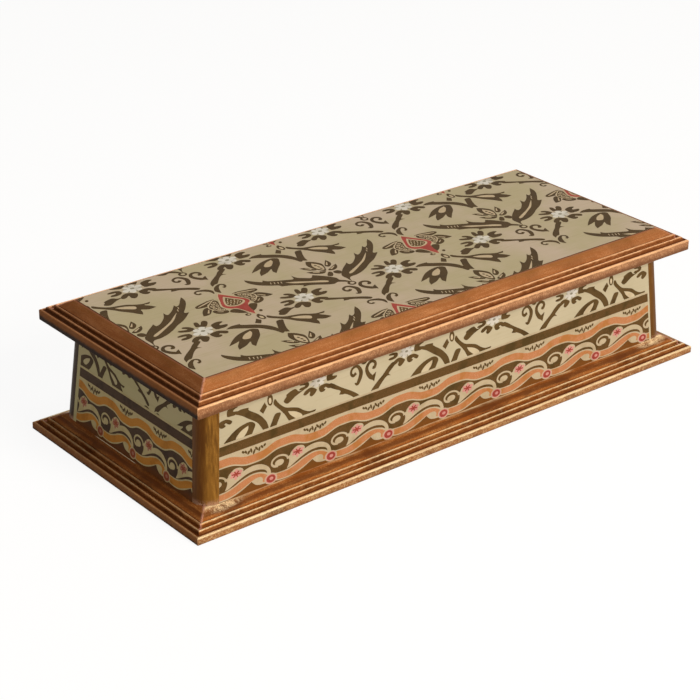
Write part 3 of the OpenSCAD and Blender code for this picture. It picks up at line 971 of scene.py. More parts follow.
def tulips() -> Motif:
    """The two forked tulips and the crossing stems between them.

    Returns:
        The motif.
    """
    right = [(3.3, -17.6), (5.3, -20.3), (8.6, -23.2), (12.3, -24.4), (16.1, -25.7), (19.0, -27.8), (22.2, -29.3),
             (26.0, -29.4, 1), (24.7, -30.8), (22.0, -30.5), (24.0, -33.2), (25.2, -35.5, 1), (21.3, -35.7),
             (18.2, -33.8), (17.4, -36.3), (16.1, -38.6, 1), (14.6, -36.5), (13.2, -34.0), (10.1, -29.9), (8.4, -26.9),
             (5.7, -23.6), (2.4, -19.9)]
    right_eye = [(10.1, -25.6, 1), (14.4, -27.0), (17.7, -29.3), (17.8, -31.0), (16.4, -31.9), (14.3, -30.3),
                 (11.4, -27.8)]
    left = [(-11.0, -24.2), (-8.3, -26.1), (-9.4, -28.7), (-11.5, -31.9), (-14.9, -35.0), (-19.1, -39.0, 1),
            (-19.5, -36.7), (-18.3, -34.0), (-22.0, -36.1), (-26.8, -37.5, 1), (-25.2, -34.4), (-22.0, -31.0),
            (-24.5, -31.6), (-28.2, -32.3, 1), (-24.8, -29.4), (-20.6, -26.5), (-16.0, -24.7)]
    left_eye = [(-12.1, -25.7, 1), (-12.4, -27.4), (-14.0, -29.4), (-16.5, -31.4), (-18.9, -30.9), (-19.0, -29.4),
                (-16.0, -27.0)]
    stem = [(-19.2, -18.2, 1), (-15.9, -16.9), (-11.3, -17.3, 1), (-11.2, -18.6), (-6.4, -21.9), (-3.1, -25.3),
            (-1.5, -28.2), (-0.9, -31.5), (-0.5, -34.8), (-2.4, -35.8), (-3.2, -32.4), (-5.2, -28.6), (-7.3, -25.7),
            (-11.4, -22.8), (-15.5, -19.9)]
    low = [(1.1, -36.5, 1), (2.2, -32.8), (4.3, -28.6), (6.1, -25.4), (4.6, -24.6), (2.7, -25.0), (1.0, -27.8),
           (-1.2, -32.0), (-0.8, -35.1)]
    high = [(8.0, -20.3), (10.3, -21.9), (14.5, -19.8), (17.0, -18.9), (20.4, -17.8, 1), (16.8, -17.9), (14.6, -16.1),
            (10.0, -17.3), (9.7, -18.4)]
    shapes = smooth(Tint.UMBER, (right, left, stem, low, high)) + smooth(Tint.PALE, (right_eye, left_eye), 2)
    return Motif("tulips", shapes, 4)


def tendrils() -> Motif:
    """Stems, curls and the bow above a palmette.

    Returns:
        The motif.
    """
    left = [(-20.6, 34.3), (-19.0, 35.6), (-13.4, 31.9), (-8.7, 29.1), (-4.1, 26.0), (-2.3, 23.7), (-4.1, 22.9),
            (-7.9, 26.0), (-11.2, 27.9), (-12.5, 28.0), (-14.7, 28.6, 1), (-13.8, 30.2), (-17.1, 32.0)]
    right = [(17.8, 35.3), (19.4, 34.0), (15.9, 31.2), (15.2, 30.3), (16.4, 29.0, 1), (14.1, 29.4), (11.0, 27.2),
             (7.1, 23.2), (5.3, 22.9), (3.1, 21.6, 1), (4.1, 24.7), (7.2, 27.6), (11.6, 30.7), (14.7, 33.5)]
    lines = [([(-0.9, 15.0), (-0.5, 17.9), (-1.9, 20.1), (-4.1, 21.3), (-6.0, 21.7), (-7.5, 20.4), (-7.0, 18.5),
               (-5.4, 18.7)], [0.3, 1.9, 2.2, 1.5, 1.0, 1.0, 1.0, 1.3]),
             ([(2.2, 14.0), (2.1, 16.6), (3.4, 19.1), (5.3, 20.9), (7.1, 21.6), (8.4, 20.3), (7.7, 18.4), (6.4, 18.0)],
              [0.3, 2.5, 2.3, 1.5, 1.0, 1.1, 1.2, 1.3]),
             ([(-5.3, 31.4), (-3.7, 30.7), (-1.9, 33.5), (-1.4, 36.0), (-2.6, 38.6), (-4.4, 39.6), (-6.6, 38.6),
               (-7.2, 36.6), (-6.0, 35.3), (-4.3, 36.2)], [0.4, 1.8, 2.2, 2.2, 1.7, 1.3, 1.2, 1.3, 1.5, 1.5]),
             ([(6.4, 30.2), (4.2, 31.9), (2.5, 34.4), (2.2, 36.9), (3.8, 39.0), (5.9, 39.3), (7.4, 37.9), (6.8, 36.0),
               (5.6, 36.2)], [1.2, 2.4, 2.1, 1.8, 1.5, 1.5, 1.5, 1.6, 1.4])]
    shapes = smooth(Tint.UMBER, (left, right))
    shapes.append(Shape(Tint.UMBER, [(7.7, 33.5), (4.0, 31.6), (6.2, 29.0)]))
    shapes += ovals(Tint.UMBER, 1, 14, (0.7, 41.2, 2.1, 2.1)) + ovals(Tint.GROUND, 2, 10, (0.8, 41.1, 1.1, 1.0))
    shapes += [Shape(Tint.UMBER, ribbon(line, wide)) for line, wide in lines]
    return Motif("tendrils", shapes, 5)


def saz_leaves() -> Motif:
    """The pair of long toothed leaves that spring from one joint.

    Returns:
        The motif.
    """
    right = [(1.9, 42.2, 1), (2.3, 46.5), (2.5, 50.5), (5.5, 54.0), (8.7, 56.8), (11.8, 59.0), (13.6, 60.5, 1),
             (13.6, 58.2), (15.9, 58.7), (18.8, 60.9), (21.3, 63.4), (23.6, 67.0, 1), (23.9, 64.4), (26.3, 65.5),
             (28.9, 67.6), (32.0, 70.9, 1), (32.3, 69.2), (34.5, 70.3), (37.0, 73.3), (39.5, 76.0, 1), (39.1, 72.7),
             (37.4, 69.3), (34.4, 65.6), (31.1, 61.9), (33.0, 60.9, 1), (30.0, 58.4), (26.2, 55.6), (21.1, 53.0),
             (17.4, 50.6), (13.0, 48.4), (8.5, 47.1), (5.1, 47.0), (3.2, 45.4)]
    right_vein = [(6.8, 49.9), (7.5, 51.1), (11.8, 53.2), (16.4, 55.4), (21.1, 58.2), (24.9, 61.2), (28.5, 64.0, 1),
                  (25.6, 60.8), (21.8, 57.3), (17.4, 54.7), (12.7, 52.0), (8.5, 49.9)]
    left = [(-35.8, 73.4, 1), (-33.8, 70.3), (-31.8, 67.9), (-30.6, 66.8), (-29.5, 68.2, 1), (-28.1, 66.1),
            (-24.8, 64.1), (-20.6, 62.0), (-17.4, 60.8), (-16.0, 64.3, 1), (-15.2, 61.0), (-12.8, 58.7), (-10.3, 56.9),
            (-8.0, 58.9, 1), (-5.7, 56.6), (-2.9, 52.9), (-1.2, 49.9), (-1.5, 47.4), (0.3, 45.4), (1.9, 42.2, 1),
            (-0.1, 43.4), (-3.4, 45.9), (-5.9, 45.3), (-8.4, 46.2), (-12.9, 49.4), (-16.2, 51.1), (-19.2, 51.5, 1),
            (-18.3, 52.8), (-22.0, 55.7), (-26.5, 57.7, 1), (-27.2, 59.5), (-30.2, 61.6), (-33.9, 64.9), (-36.1, 68.7),
            (-36.5, 71.8)]
    left_vein = [(-22.9, 60.0, 1), (-18.6, 57.9), (-13.7, 54.6), (-9.5, 52.4), (-6.4, 49.9), (-7.3, 48.7),
                 (-11.6, 51.5), (-15.3, 54.0), (-19.9, 56.7)]
    flecks = [(-28.6, 63.2), (-27.1, 62.3), (-25.6, 61.6), (-24.2, 61.0), (31.8, 67.2), (30.2, 65.4)]
    shapes = smooth(Tint.UMBER, (right, left)) + smooth(Tint.PALE, (right_vein, left_vein), 2)
    shapes += [Shape(Tint.PALE, ribbon([(x - 0.4, y - 0.9), (x + 0.4, y + 0.9)], [0.25, 0.5], 1), 2) for x, y in flecks]
    return Motif("saz_leaves", shapes, 6)


def lotus() -> Motif:
    """The small lotus between a stem fork and the saz leaves.

    Returns:
        The motif.
    """
    dark = [[(-0.7, 72.8, 1), (1.6, 70.8), (3.2, 68.3), (3.7, 66.3), (2.9, 63.6), (1.5, 60.7), (0.2, 59.0),
             (-1.3, 60.5), (-2.7, 63.6), (-3.3, 67.2), (-2.7, 70.0)],
            [(3.4, 63.7), (5.7, 66.6), (7.8, 68.8, 1), (7.9, 65.3), (6.5, 63.0), (4.3, 61.9)],
            [(1.6, 59.1), (4.8, 60.8), (8.8, 62.5, 1), (7.7, 59.9), (5.6, 58.1), (3.1, 57.7)],
            [(-8.0, 68.3, 1), (-5.5, 67.3), (-3.5, 64.6), (-2.6, 62.2), (-5.2, 63.4), (-6.9, 65.6)],
            [(-8.3, 62.8, 1), (-6.0, 62.1), (-3.5, 60.5), (-0.3, 58.7), (-2.0, 57.4), (-4.5, 58.1), (-6.9, 60.2)],
            [(0.3, 57.3), (-2.8, 54.1), (-1.0, 52.6), (1.3, 55.6)],
            [(2.3, 56.3), (1.8, 54.5), (3.4, 52.5), (5.5, 54.1), (4.6, 56.3)]]
    eye = [(0.0, 69.6, 1), (1.6, 67.2), (2.2, 64.6), (1.4, 61.9), (0.3, 60.5), (-0.9, 61.9), (-1.8, 64.4), (-1.4, 67.2)]
    slits = [[(4.7, 63.9), (6.8, 66.6)], [(3.3, 59.2), (6.6, 60.9)], [(-4.0, 64.4), (-6.2, 66.6)],
             [(-3.2, 59.5), (-6.0, 61.0)]]
    shapes = smooth(Tint.UMBER, dark) + smooth(Tint.PALE, [eye], 2)
    shapes += [Shape(Tint.PALE, ribbon(line, [0.9, 0.4], 2), 2) for line in slits]
    shapes += ovals(Tint.UMBER, 3, 8, *((x, y, 0.55, 0.8, 20) for x, y in ((0.0, 66.4), (0.3, 64.4), (0.2, 62.5))))
    return Motif("lotus", shapes, 7)


@dataclass
class FlowerPattern:
    """The half-drop repeat of palmettes, rosettes, leaves and tulips."""

    step_x: float = 54.3
    step_y: float = 55.0
    rosettes: tuple[Point, Point] = ((-28.1, -13.5), (27.9, -12.9))
    columns: int = 6
    rows: int = 3
    bare_left: float = 30.0
    bare_right: float = 55.0
    motifs: dict[str, Motif] = field(default_factory=dict)

    def model(self) -> None:
        """Models every motif once."""
        for motif in (rosette(), palmette(), bud(), tulips(), tendrils(), saz_leaves(), lotus()):
            self.motifs[motif.name] = motif

    def spots(self, rise: float) -> Iterable[tuple[str, float, float]]:
        """Names every motif of the repeat with its place.

        Args:
            rise: how far the rosettes are raised.

        Returns:
            The motif's name and its place in the pattern.
        """
        for column, row in product(range(-self.columns, self.columns + 1), range(-self.rows, self.rows + 1)):
            x, y = column * self.step_x, (row * 2 - column % 2) * self.step_y
            yield from ((name, x, y) for name in self.motifs if name != "rosette")
            yield from (("rosette", x + dx, y + dy + rise) for dx, dy in self.rosettes)

    def laid_out(self, name: str, window: Window, origin: Point, scale: float, turn: float = 0.0,
                 bloom: Triple = (1.0, 1.0, 0.0), margin: float = 4.0) -> dict[Tint, bpy.types.Object]:
        """Lays the pattern over a rectangle.

        Args:
            name: start of the pieces' names.
            window: the rectangle.
            origin: middle of one palmette in millimetres.
            scale: size of the pattern.
            turn: degrees that it is turned by.
            bloom: width and height of the rosettes as factors, and how far they are raised.
            margin: strip at each end where a rosette keeps its dark petals alone.

        Returns:
            One flat piece per colour.
        """
        placed: dict[Tint, list[bpy.types.Object]] = {}
        wide, tall, rise = bloom
        left, right, low, high = window
        start = moved(*origin) @ Matrix.Rotation(math.radians(turn), 4, "Z") @ Matrix.Diagonal((scale, scale, 1, 1))
        for key, u, v in self.spots(rise):
            place = start @ moved(u, v)
            middle = place.translation / MM
            cut_off = not left + margin < middle.x < right - margin
            if key == "palmette" and middle.y < low and not left + self.bare_left < middle.x < right - self.bare_right:
                continue
            if key == "rosette":
                place = place @ Matrix.Diagonal((wide, tall, 1, 1))
            for tint, blank in self.motifs[key].blanks.items():
                if key == "rosette" and cut_off and tint is not Tint.UMBER:
                    continue
                corners = [place @ Vector(c) / MM for c in blank.bound_box]
                xs, ys = [c.x for c in corners], [c.y for c in corners]
                if min(xs) < right and max(xs) > left and min(ys) < high and max(ys) > low:
                    placed.setdefault(tint, []).append(Bench.copy(blank, place))
        made = {tint: Bench.joined(pieces, f"{name}_{tint.value}") for tint, pieces in placed.items()}
        for piece in made.values():
            Bench.cut(piece, (((left, 0), (-1, 0)), ((right, 0), (1, 0)), ((0, low), (0, -1)), ((0, high), (0, 1))))
        return made

    def put_away(self) -> None:
        """Removes the blanks."""
        for motif in self.motifs.values():
            motif.remove()


# ---- Wave border ----------------------------------------------------------------------


@dataclass
class WaveBorder:
    """Border of one wall: band, cream lines, wavy ribbon and running scrolls."""

    period: float = 32.75
    foot: float = 9.0
    top: float = 29.5
    middle: float = 24.95
    swing: float = 1.3
    crest: float = 8.5
    steps: int = 24
    flower: Point = (15.0, 19.3)
    bead: Point = (0.0, 11.4)

    def wave(self, s: float, rise: float) -> Point:
        """A point at s along one repeat, at a rise above the ribbon's middle."""
        turn = math.cos(2 * math.pi * (s - self.crest) / self.period)
        return s, self.middle + self.swing * turn * (1.5 - 0.5 * turn * turn) + rise

    def waves(self) -> list[Shape]:
        """The wavy ribbon, the pale ground over it and the dashes between its crests.

        Returns:
            The shapes.
        """
        run = [self.period * k / self.steps for k in range(self.steps + 1)]
        back = run[::-1]
        out = [Shape(Tint.CREAM, [(0, self.top), (self.period, self.top)] + [self.wave(s, -2.35) for s in back]),
               Shape(Tint.SALMON, [self.wave(s, 1.75) for s in run] + [self.wave(s, -1.7) for s in back], 2)]
        dashes = ((48, 28.0), (35, 27.6), (-40, 27.0), (12, 27.5), (-30, 26.5), (38, 27.6), (-15, 26.9), (40, 27.5),
                  (-50, 27.9))
        for k, (lean, v) in enumerate(dashes):
            s, length = 19.3 + 1.4 * k, 1.3 + 1.0 * (1 - abs(k - 4) / 5)
            a = math.radians(90 + lean)
            dx, dy = math.cos(a) * length / 2, math.sin(a) * length / 2
            out.append(Shape(Tint.UMBER, ribbon([(s - dx, v - dy), (s, v), (s + dx, v + dy)], [0.5, 1.1, 0.7], 2), 3))
        return out

    def scrolls(self) -> list[Shape]:
        """The running scrolls with their curl and eyes.

        Returns:
            The shapes.
        """
        sweep = [(9.6, 18.4), (10.2, 17.0), (9.9, 15.4), (8.7, 13.4, 1), (10.8, 13.8), (15.5, 15.8), (20.5, 17.5),
                 (25.0, 17.8), (28.8, 17.0), (30.8, 15.6), (31.3, 13.2), (32.9, 13.0), (32.8, 15.5), (31.5, 17.6),
                 (28.5, 19.5), (24.5, 20.3), (20.5, 19.9), (17.0, 18.7), (14.0, 18.0), (11.2, 18.9)]
        strand_edge = [(0.5, 13.4), (3.5, 13.0), (8.5, 13.0), (13.5, 14.1), (17.5, 15.5), (22.5, 16.6), (26.5, 16.4),
                       (30.0, 15.3), (32.0, 13.4), (32.5, 11.5), (30.2, 10.4), (27.4, 10.4), (25.0, 11.0),
                       (23.6, 12.1), (22.7, 13.2, 1), (17.5, 10.9), (12.5, 9.5), (8.5, 9.1), (3.5, 9.4), (1.5, 10.5)]
        strand = [(2.5, 12.5), (8.5, 12.4), (13.5, 13.5), (17.5, 14.9), (22.5, 16.0), (26.5, 15.8), (29.8, 14.5),
                  (31.8, 12.6), (30.6, 11.0), (28.6, 11.2), (27.9, 13.0), (25.8, 14.1), (23.6, 13.7), (22.0, 13.2, 1),
                  (17.5, 11.6), (12.5, 10.1), (8.5, 9.7), (3.5, 10.0)]
        curl = [(9.7, 17.6), (9.0, 19.1), (6.9, 20.2), (4.1, 20.4), (1.7, 19.4), (0.9, 17.8), (2.0, 16.4), (4.2, 16.1)]
        return [*smooth(Tint.CREAM, (sweep, strand_edge)), *smooth(Tint.SALMON, [strand], 2),
                Shape(Tint.CREAM, ribbon(curl, [1.2, 0.9, 0.8, 0.8, 0.9, 1.0, 1.1, 1.2])),
                *ovals(Tint.CREAM, 1, 18, (5.0, 17.3, 2.4, 1.45)), *ovals(Tint.CREAM, 3, 18, (26.4, 12.5, 2.2, 1.6))]

    def flowers(self) -> list[Shape]:
        """The six-petalled flower on its pale ground, and the round bead.

        Returns:
            The shapes.
        """
        ground = [(10.8, 18.9), (11.8, 20.4), (14.6, 21.9), (17.6, 21.5), (18.9, 20.0), (17.6, 18.2), (14.6, 17.2),
                  (11.8, 17.4)]
        out = smooth(Tint.CREAM, [ground])
        x, y = self.flower
        for k, (long, wide) in enumerate(((1.5, 0.75), (1.2, 0.9), (1.4, 0.7), (1.3, 0.85), (1.5, 0.8), (1.15, 0.75))):
            a, b = math.radians(60 * k + 22), math.radians(60 * k + 50)
            turn = math.degrees(math.atan2(math.sin(a) * 0.7, math.cos(a)))
            petal = oval(x + 2.05 * math.cos(a), y + 1.15 * math.sin(a), long, wide, 12, turn)
            gap = ribbon([(x, y), (x + 2.4 * math.cos(b), y + 1.5 * math.sin(b))], [0.8, 0.5], 2)
            out += [Shape(Tint.ROSE, petal, 2), Shape(Tint.RED, gap, 3)]
        x, y = self.bead
        return [*out, *ovals(Tint.CREAM, 3, 22, (x, y, 3.4, 2.5)), *ovals(Tint.ROSE, 4, 22, (x, y, 2.9, 2.1)),
                *ovals(Tint.RED, 5, 20, (x, y, 2.4, 1.75)), *ovals(Tint.ROSE, 6, 12, (x + 0.25, y + 0.05, 1.05, 0.75))]

    def model(self) -> Motif:
        """Models one repeat, with s running from one red bead to the next."""
        return Motif("border", self.waves() + self.scrolls() + self.flowers())


@dataclass
class WallSheet:
    """The decorated sheet of one wall, laid on its leaning face."""

    side: Side
    origin: float
    scale: float
    palmette_height: float
    bead_origin: float
    border_scale: float
    foot: float
    rise: float
    band_low: float
    band_high: float
    margin_left: float
    margin_right: float
    lean: float = 4.7
    joint_height: float = 55.2
    half_length: float = 135.7
    half_depth: float = 50.7
    post: float = 8.0
    end_gap: float = 0.02
    ground_low: float = 8.6
    line_width: float = 0.8
    overlap: float = 0.05
    spill: float = 5.0
    repeats: int = 8
    flowers_low: float = 1.1
    flowers_high: float = 54.8
    bloom: Triple = (0.88, 0.66, -3.4)
    bloom_margin: float = 9.5

    @property
    def slope(self) -> float:
        """How far the wall leans out for each millimetre down."""
        return math.tan(math.radians(self.lean))

    def plane(self) -> Matrix:
        """The turn and move that lay a flat piece on this wall's face.

        Returns:
            A matrix from the sheet's own plane to the box.
        """
        out = self.half_depth if self.side.long else self.half_length
        foot = Vector((0, -(out + self.slope * self.joint_height), 0)) * MM
        up = Vector((0, self.slope, 1))
        face = Vector((0, -1, self.slope)).normalized()
        local = Matrix(((1, 0, 0, foot.x), (0, up.y, face.y, foot.y), (0, up.z, face.z, foot.z), (0, 0, 0, 1)))
        return Matrix.Rotation(math.radians(self.side.value), 4, "Z") @ local

    def edge(self, height: float) -> float:
        """Half the sheet's length at a height in millimetres."""
        half = self.half_length if self.side.long else self.half_depth
        return half + self.slope * (self.joint_height - height) - self.post

    def strip(self, name: str, low: float, high: float, level: int) -> bpy.types.Object:
        """A straight strip along the sheet.

        Args:
            name: its name.
            low: lower edge in millimetres.
            high: upper edge in millimetres.
            level: layer it lies in.

        Returns:
            The piece.
        """
        a, b = self.edge(low) - self.end_gap, self.edge(high) - self.end_gap
        left, right = self.margin_left, self.margin_right
        return Bench.drawn(name, [(-a + left, low), (a - right, low), (b - right, high), (-b + left, high)],
                           LAYER * (1 + level))

    def build(self, pattern: FlowerPattern, border: Motif, inks: dict[Tint, bpy.types.Material]) -> list[str]:
        """Builds and dresses the sheet's pattern.

        Args:
            pattern: the flower pattern.
            border: one repeat of the border.
            inks: a material per colour.

        Returns:
            Names of the pieces.
        """
        name = f"{self.side.word}_sheet"
        reach = self.edge(0) + self.spill
        window = (-reach, reach, self.band_high + self.flowers_low, self.flowers_high)
        made = pattern.laid_out(f"{name}_flowers", window, (self.origin, self.palmette_height), self.scale,
                                bloom=self.bloom, margin=self.bloom_margin)
        pieces = [(piece, tint) for tint, piece in made.items()]
        base = WaveBorder()
        squeeze = Matrix.Diagonal((self.border_scale, self.rise, 1, 1))
        period = base.period * self.border_scale
        starts = (self.bead_origin + k * period for k in range(-self.repeats, self.repeats + 1))
        places = [moved(u, self.foot) @ squeeze @ moved(0, -base.foot) for u in starts if -reach - period < u < reach]
        for tint, blank in border.blanks.items():
            joined = Bench.joined([Bench.copy(blank, place) for place in places], f"{name}_border_{tint.value}")
            pieces.append((joined, tint))
        ends = [((way * (self.edge(0) - self.end_gap - margin), 0), (way, self.slope))
                for way, margin in ((-1, self.margin_left), (1, self.margin_right))]
        for piece, _ in pieces:
            Bench.cut(piece, ends)
        strips = (("border_ground", self.ground_low, self.band_low + self.overlap, 0, Tint.SHADE),
                  ("band", self.band_low, self.band_high, 1, Tint.SHADE),
                  ("band_line", self.band_high, self.band_high + self.line_width, 1, Tint.CREAM))
        pieces += [(self.strip(f"{name}_{part}", low, high, level), tint) for part, low, high, level, tint in strips]
        place = self.plane()
        for piece, tint in pieces:
            piece.data.transform(place)
            Bench.dressed(piece, inks[tint], "body", "side_sheet")
        return [piece.name for piece, _ in pieces]


@dataclass
class LidSheet:
    """The decorated sheet let into the lid."""

    length: float = 267.4
    depth: float = 97.4
    height: float = 66.2
    gap: float = 0.05
    scale: float = 1.0
    turn: float = 0.9
    origin: Point = (-80.6, 2.8)

    def build(self, pattern: FlowerPattern, inks: dict[Tint, bpy.types.Material]) -> list[str]:
        """Builds and dresses the pattern.

        Args:
            pattern: the flower pattern.
            inks: a material per colour.

        Returns:
            Names of the pieces.
        """
        x, y = self.length / 2 - self.gap, self.depth / 2 - self.gap
        origin = tuple(Matrix.Rotation(math.radians(self.turn), 2) @ Vector(self.origin))
        made = pattern.laid_out("lid_sheet_flowers", (-x, x, -y, y), origin, self.scale, self.turn)
        for tint, piece in made.items():
            piece.data.transform(Matrix.Translation((0, 0, self.height * MM)))
            Bench.dressed(piece, inks[tint], "lid", "top_sheet")
        return [piece.name for piece in made.values()]


# ---- Soft linings ---------------------------------------------------------------------


@dataclass
class SoftPanel:
    """A cloth-covered panel that takes the place of a plain lining solid, crowned over its wadding.

    Each of its steps is a width in millimetres and a share of the crown.
    """

    STEPS: ClassVar[tuple[Point, ...]] = ((1.5, 0.34), (2.5, 0.28), (4.0, 0.20), (6.0, 0.12), (8.0, 0.06))

    node: str
    body: str
    slot: str
    round_edge: float
    fill: float
    facing: Triple
    crown: float

    def build(self, cloth: bpy.types.Material) -> bpy.types.Object:
        """Models the panel from its solid's corners, rounds and crowns it, and dresses it.

        Args:
            cloth: its material.

        Returns:
            The piece.
        """
        corners = self.corners()
        out = Vector(self.facing)
        Bench.clear()
        bpy.ops.mesh.primitive_cube_add(size=1)
        piece = bpy.context.object
        piece.name = piece.data.name = f"{self.node}_cloth"
        bpy.ops.object.mode_set(mode="EDIT")
        work = bmesh.from_edit_mesh(piece.data)
        for vertex in work.verts:
            goal = corners[tuple(c > 0 for c in vertex.co)]
            if vertex.co.dot(out) > 0:
                goal = goal - out * self.crown * MM
            bpy.ops.mesh.select_all(action="DESELECT")
            vertex.select = True
            bmesh.update_edit_mesh(piece.data)
            bpy.ops.transform.translate(value=goal - vertex.co)
        bpy.ops.mesh.select_all(action="SELECT")
        bpy.ops.mesh.bevel(offset=self.round_edge * MM, segments=3, affect="EDGES")
        Bench.turned_out()
        bpy.ops.object.mode_set(mode="EDIT")
        bpy.ops.mesh.select_all(action="DESELECT")
        work = bmesh.from_edit_mesh(piece.data)
        shown = max((f for f in work.faces if f.normal.dot(out) > 0.9), key=lambda f: f.calc_area())
        shown.select = True
        bmesh.update_edit_mesh(piece.data)
        for wide, share in self.STEPS:
            bpy.ops.mesh.inset(thickness=wide * MM, depth=share * self.crown * MM)
        bpy.ops.mesh.faces_shade_smooth()
        bpy.ops.object.mode_set(mode="OBJECT")
        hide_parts(self.node)
        Bench.dressed(piece, cloth, self.body, self.slot)
        return piece

    def corners(self) -> dict[tuple[bool, ...], Vector]:
        """Finds the solid's eight corners.

        Returns:
            The corner in each direction.
        """
        spots = [v.co.copy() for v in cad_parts[self.node].data.vertices]
        ways = [Vector(way) for way in product((-1, 1), repeat=3)]
        return {tuple(c > 0 for c in way): max(spots, key=way.dot) for way in ways}


# ---- Studio ---------------------------------------------------------------------------


@dataclass
class Studio:
    """Floor, lamps, world and camera."""

    azimuth: float = -39.66
    elevation: float = 25.79
    roll: float = 0.934
    distance: float = 0.92819
    target: Triple = (-0.01617, 0.0, 0.02517)
    lens: float = 102.17
    nudge: float = 0.000234
    sensor: float = 36.0
    lamps: tuple[tuple, ...] = (("key_lamp", (0.24, -1.93, 1.15), 0.75, 40.0, "#fff6ec"),
                                ("top_lamp", (0.10, -0.20, 1.60), 0.9, 8.5, "#ffffff"))
    floor_size: float = 12.0
    floor_tone: tuple[float, ...] = (0.62, 0.62, 0.62, 1)
    floor_glow: float = 1.12
    floor_share: float = 0.80
    air_tone: tuple[float, ...] = (1.0, 0.85, 0.57, 1)
    air_strength: float = 0.185

    def camera(self) -> None:
        """Makes the camera."""
        a, e, roll = (math.radians(v) for v in (self.azimuth, self.elevation, self.roll))
        back = Vector((math.sin(a) * math.cos(e), -math.cos(a) * math.cos(e), math.sin(e)))
        right = Vector((0, 0, 1)).cross(back).normalized()
        up = back.cross(right)
        across = right * math.cos(roll) + up * math.sin(roll)
        upright = up * math.cos(roll) - right * math.sin(roll)
        bpy.ops.object.camera_add()
        eye = bpy.context.object
        turned = Matrix((across, upright, back)).transposed().to_4x4()
        place = Vector(self.target) + back * self.distance + (upright - across) * self.nudge
        eye.matrix_world = Matrix.Translation(place) @ turned
        eye.data.lens = self.lens
        eye.data.sensor_width = self.sensor
        bpy.context.scene.camera = eye

    def lamp(self, name: str, place: Triple, size: float, power: float, colour: str) -> None:
        """Hangs one soft lamp that faces the box.

        Args:
            name: its name.
            place: where it hangs, in metres.
            size: its width.
            power: its watts.
            colour: its colour.
        """
        bpy.ops.object.light_add(type="AREA", location=place)
        made = bpy.context.object
        made.name = name
        made.rotation_euler = Vector(place).to_track_quat("Z", "Y").to_euler()
        made.data.size = size
        made.data.energy = power
        made.data.color = linear(colour)[:3]

    def floor(self) -> None:
        """Lays the pale floor, white where it is looked at."""
        Bench.clear()
        bpy.ops.mesh.primitive_plane_add(size=self.floor_size)
        ground = bpy.context.object
        ground.name = "floor"
        r = Recipe("floor_white")
        plain = r.shade("ShaderNodeBsdfDiffuse", values={"Color": self.floor_tone})
        glow = r.shade("ShaderNodeEmission", values={"Color": "#ffffff", "Strength": self.floor_glow})
        r.node("ShaderNodeOutputMaterial", values={"Surface": r.glimpsed(plain, glow, self.floor_share)})
        ground.data.materials.append(r.owner)

    def world(self) -> None:
        """Sets the soft light from all round, white where the camera looks past the floor."""
        r = Recipe("studio_world", world=True)
        even = r.shade("ShaderNodeBackground", values={"Color": self.air_tone, "Strength": self.air_strength})
        white = r.shade("ShaderNodeBackground", values={"Color": "#ffffff", "Strength": 1.0})
        r.node("ShaderNodeOutputWorld", values={"Surface": r.glimpsed(even, white, 1.0)})
        bpy.context.scene.world = r.owner

    def build(self) -> None:
        """Sets up the whole studio."""
        bpy.context.scene.view_settings.view_transform = "Standard"
        self.camera()
        for lamp in self.lamps:
            self.lamp(*lamp)
        self.floor()
        self.world()


# ---- The box --------------------------------------------------------------------------


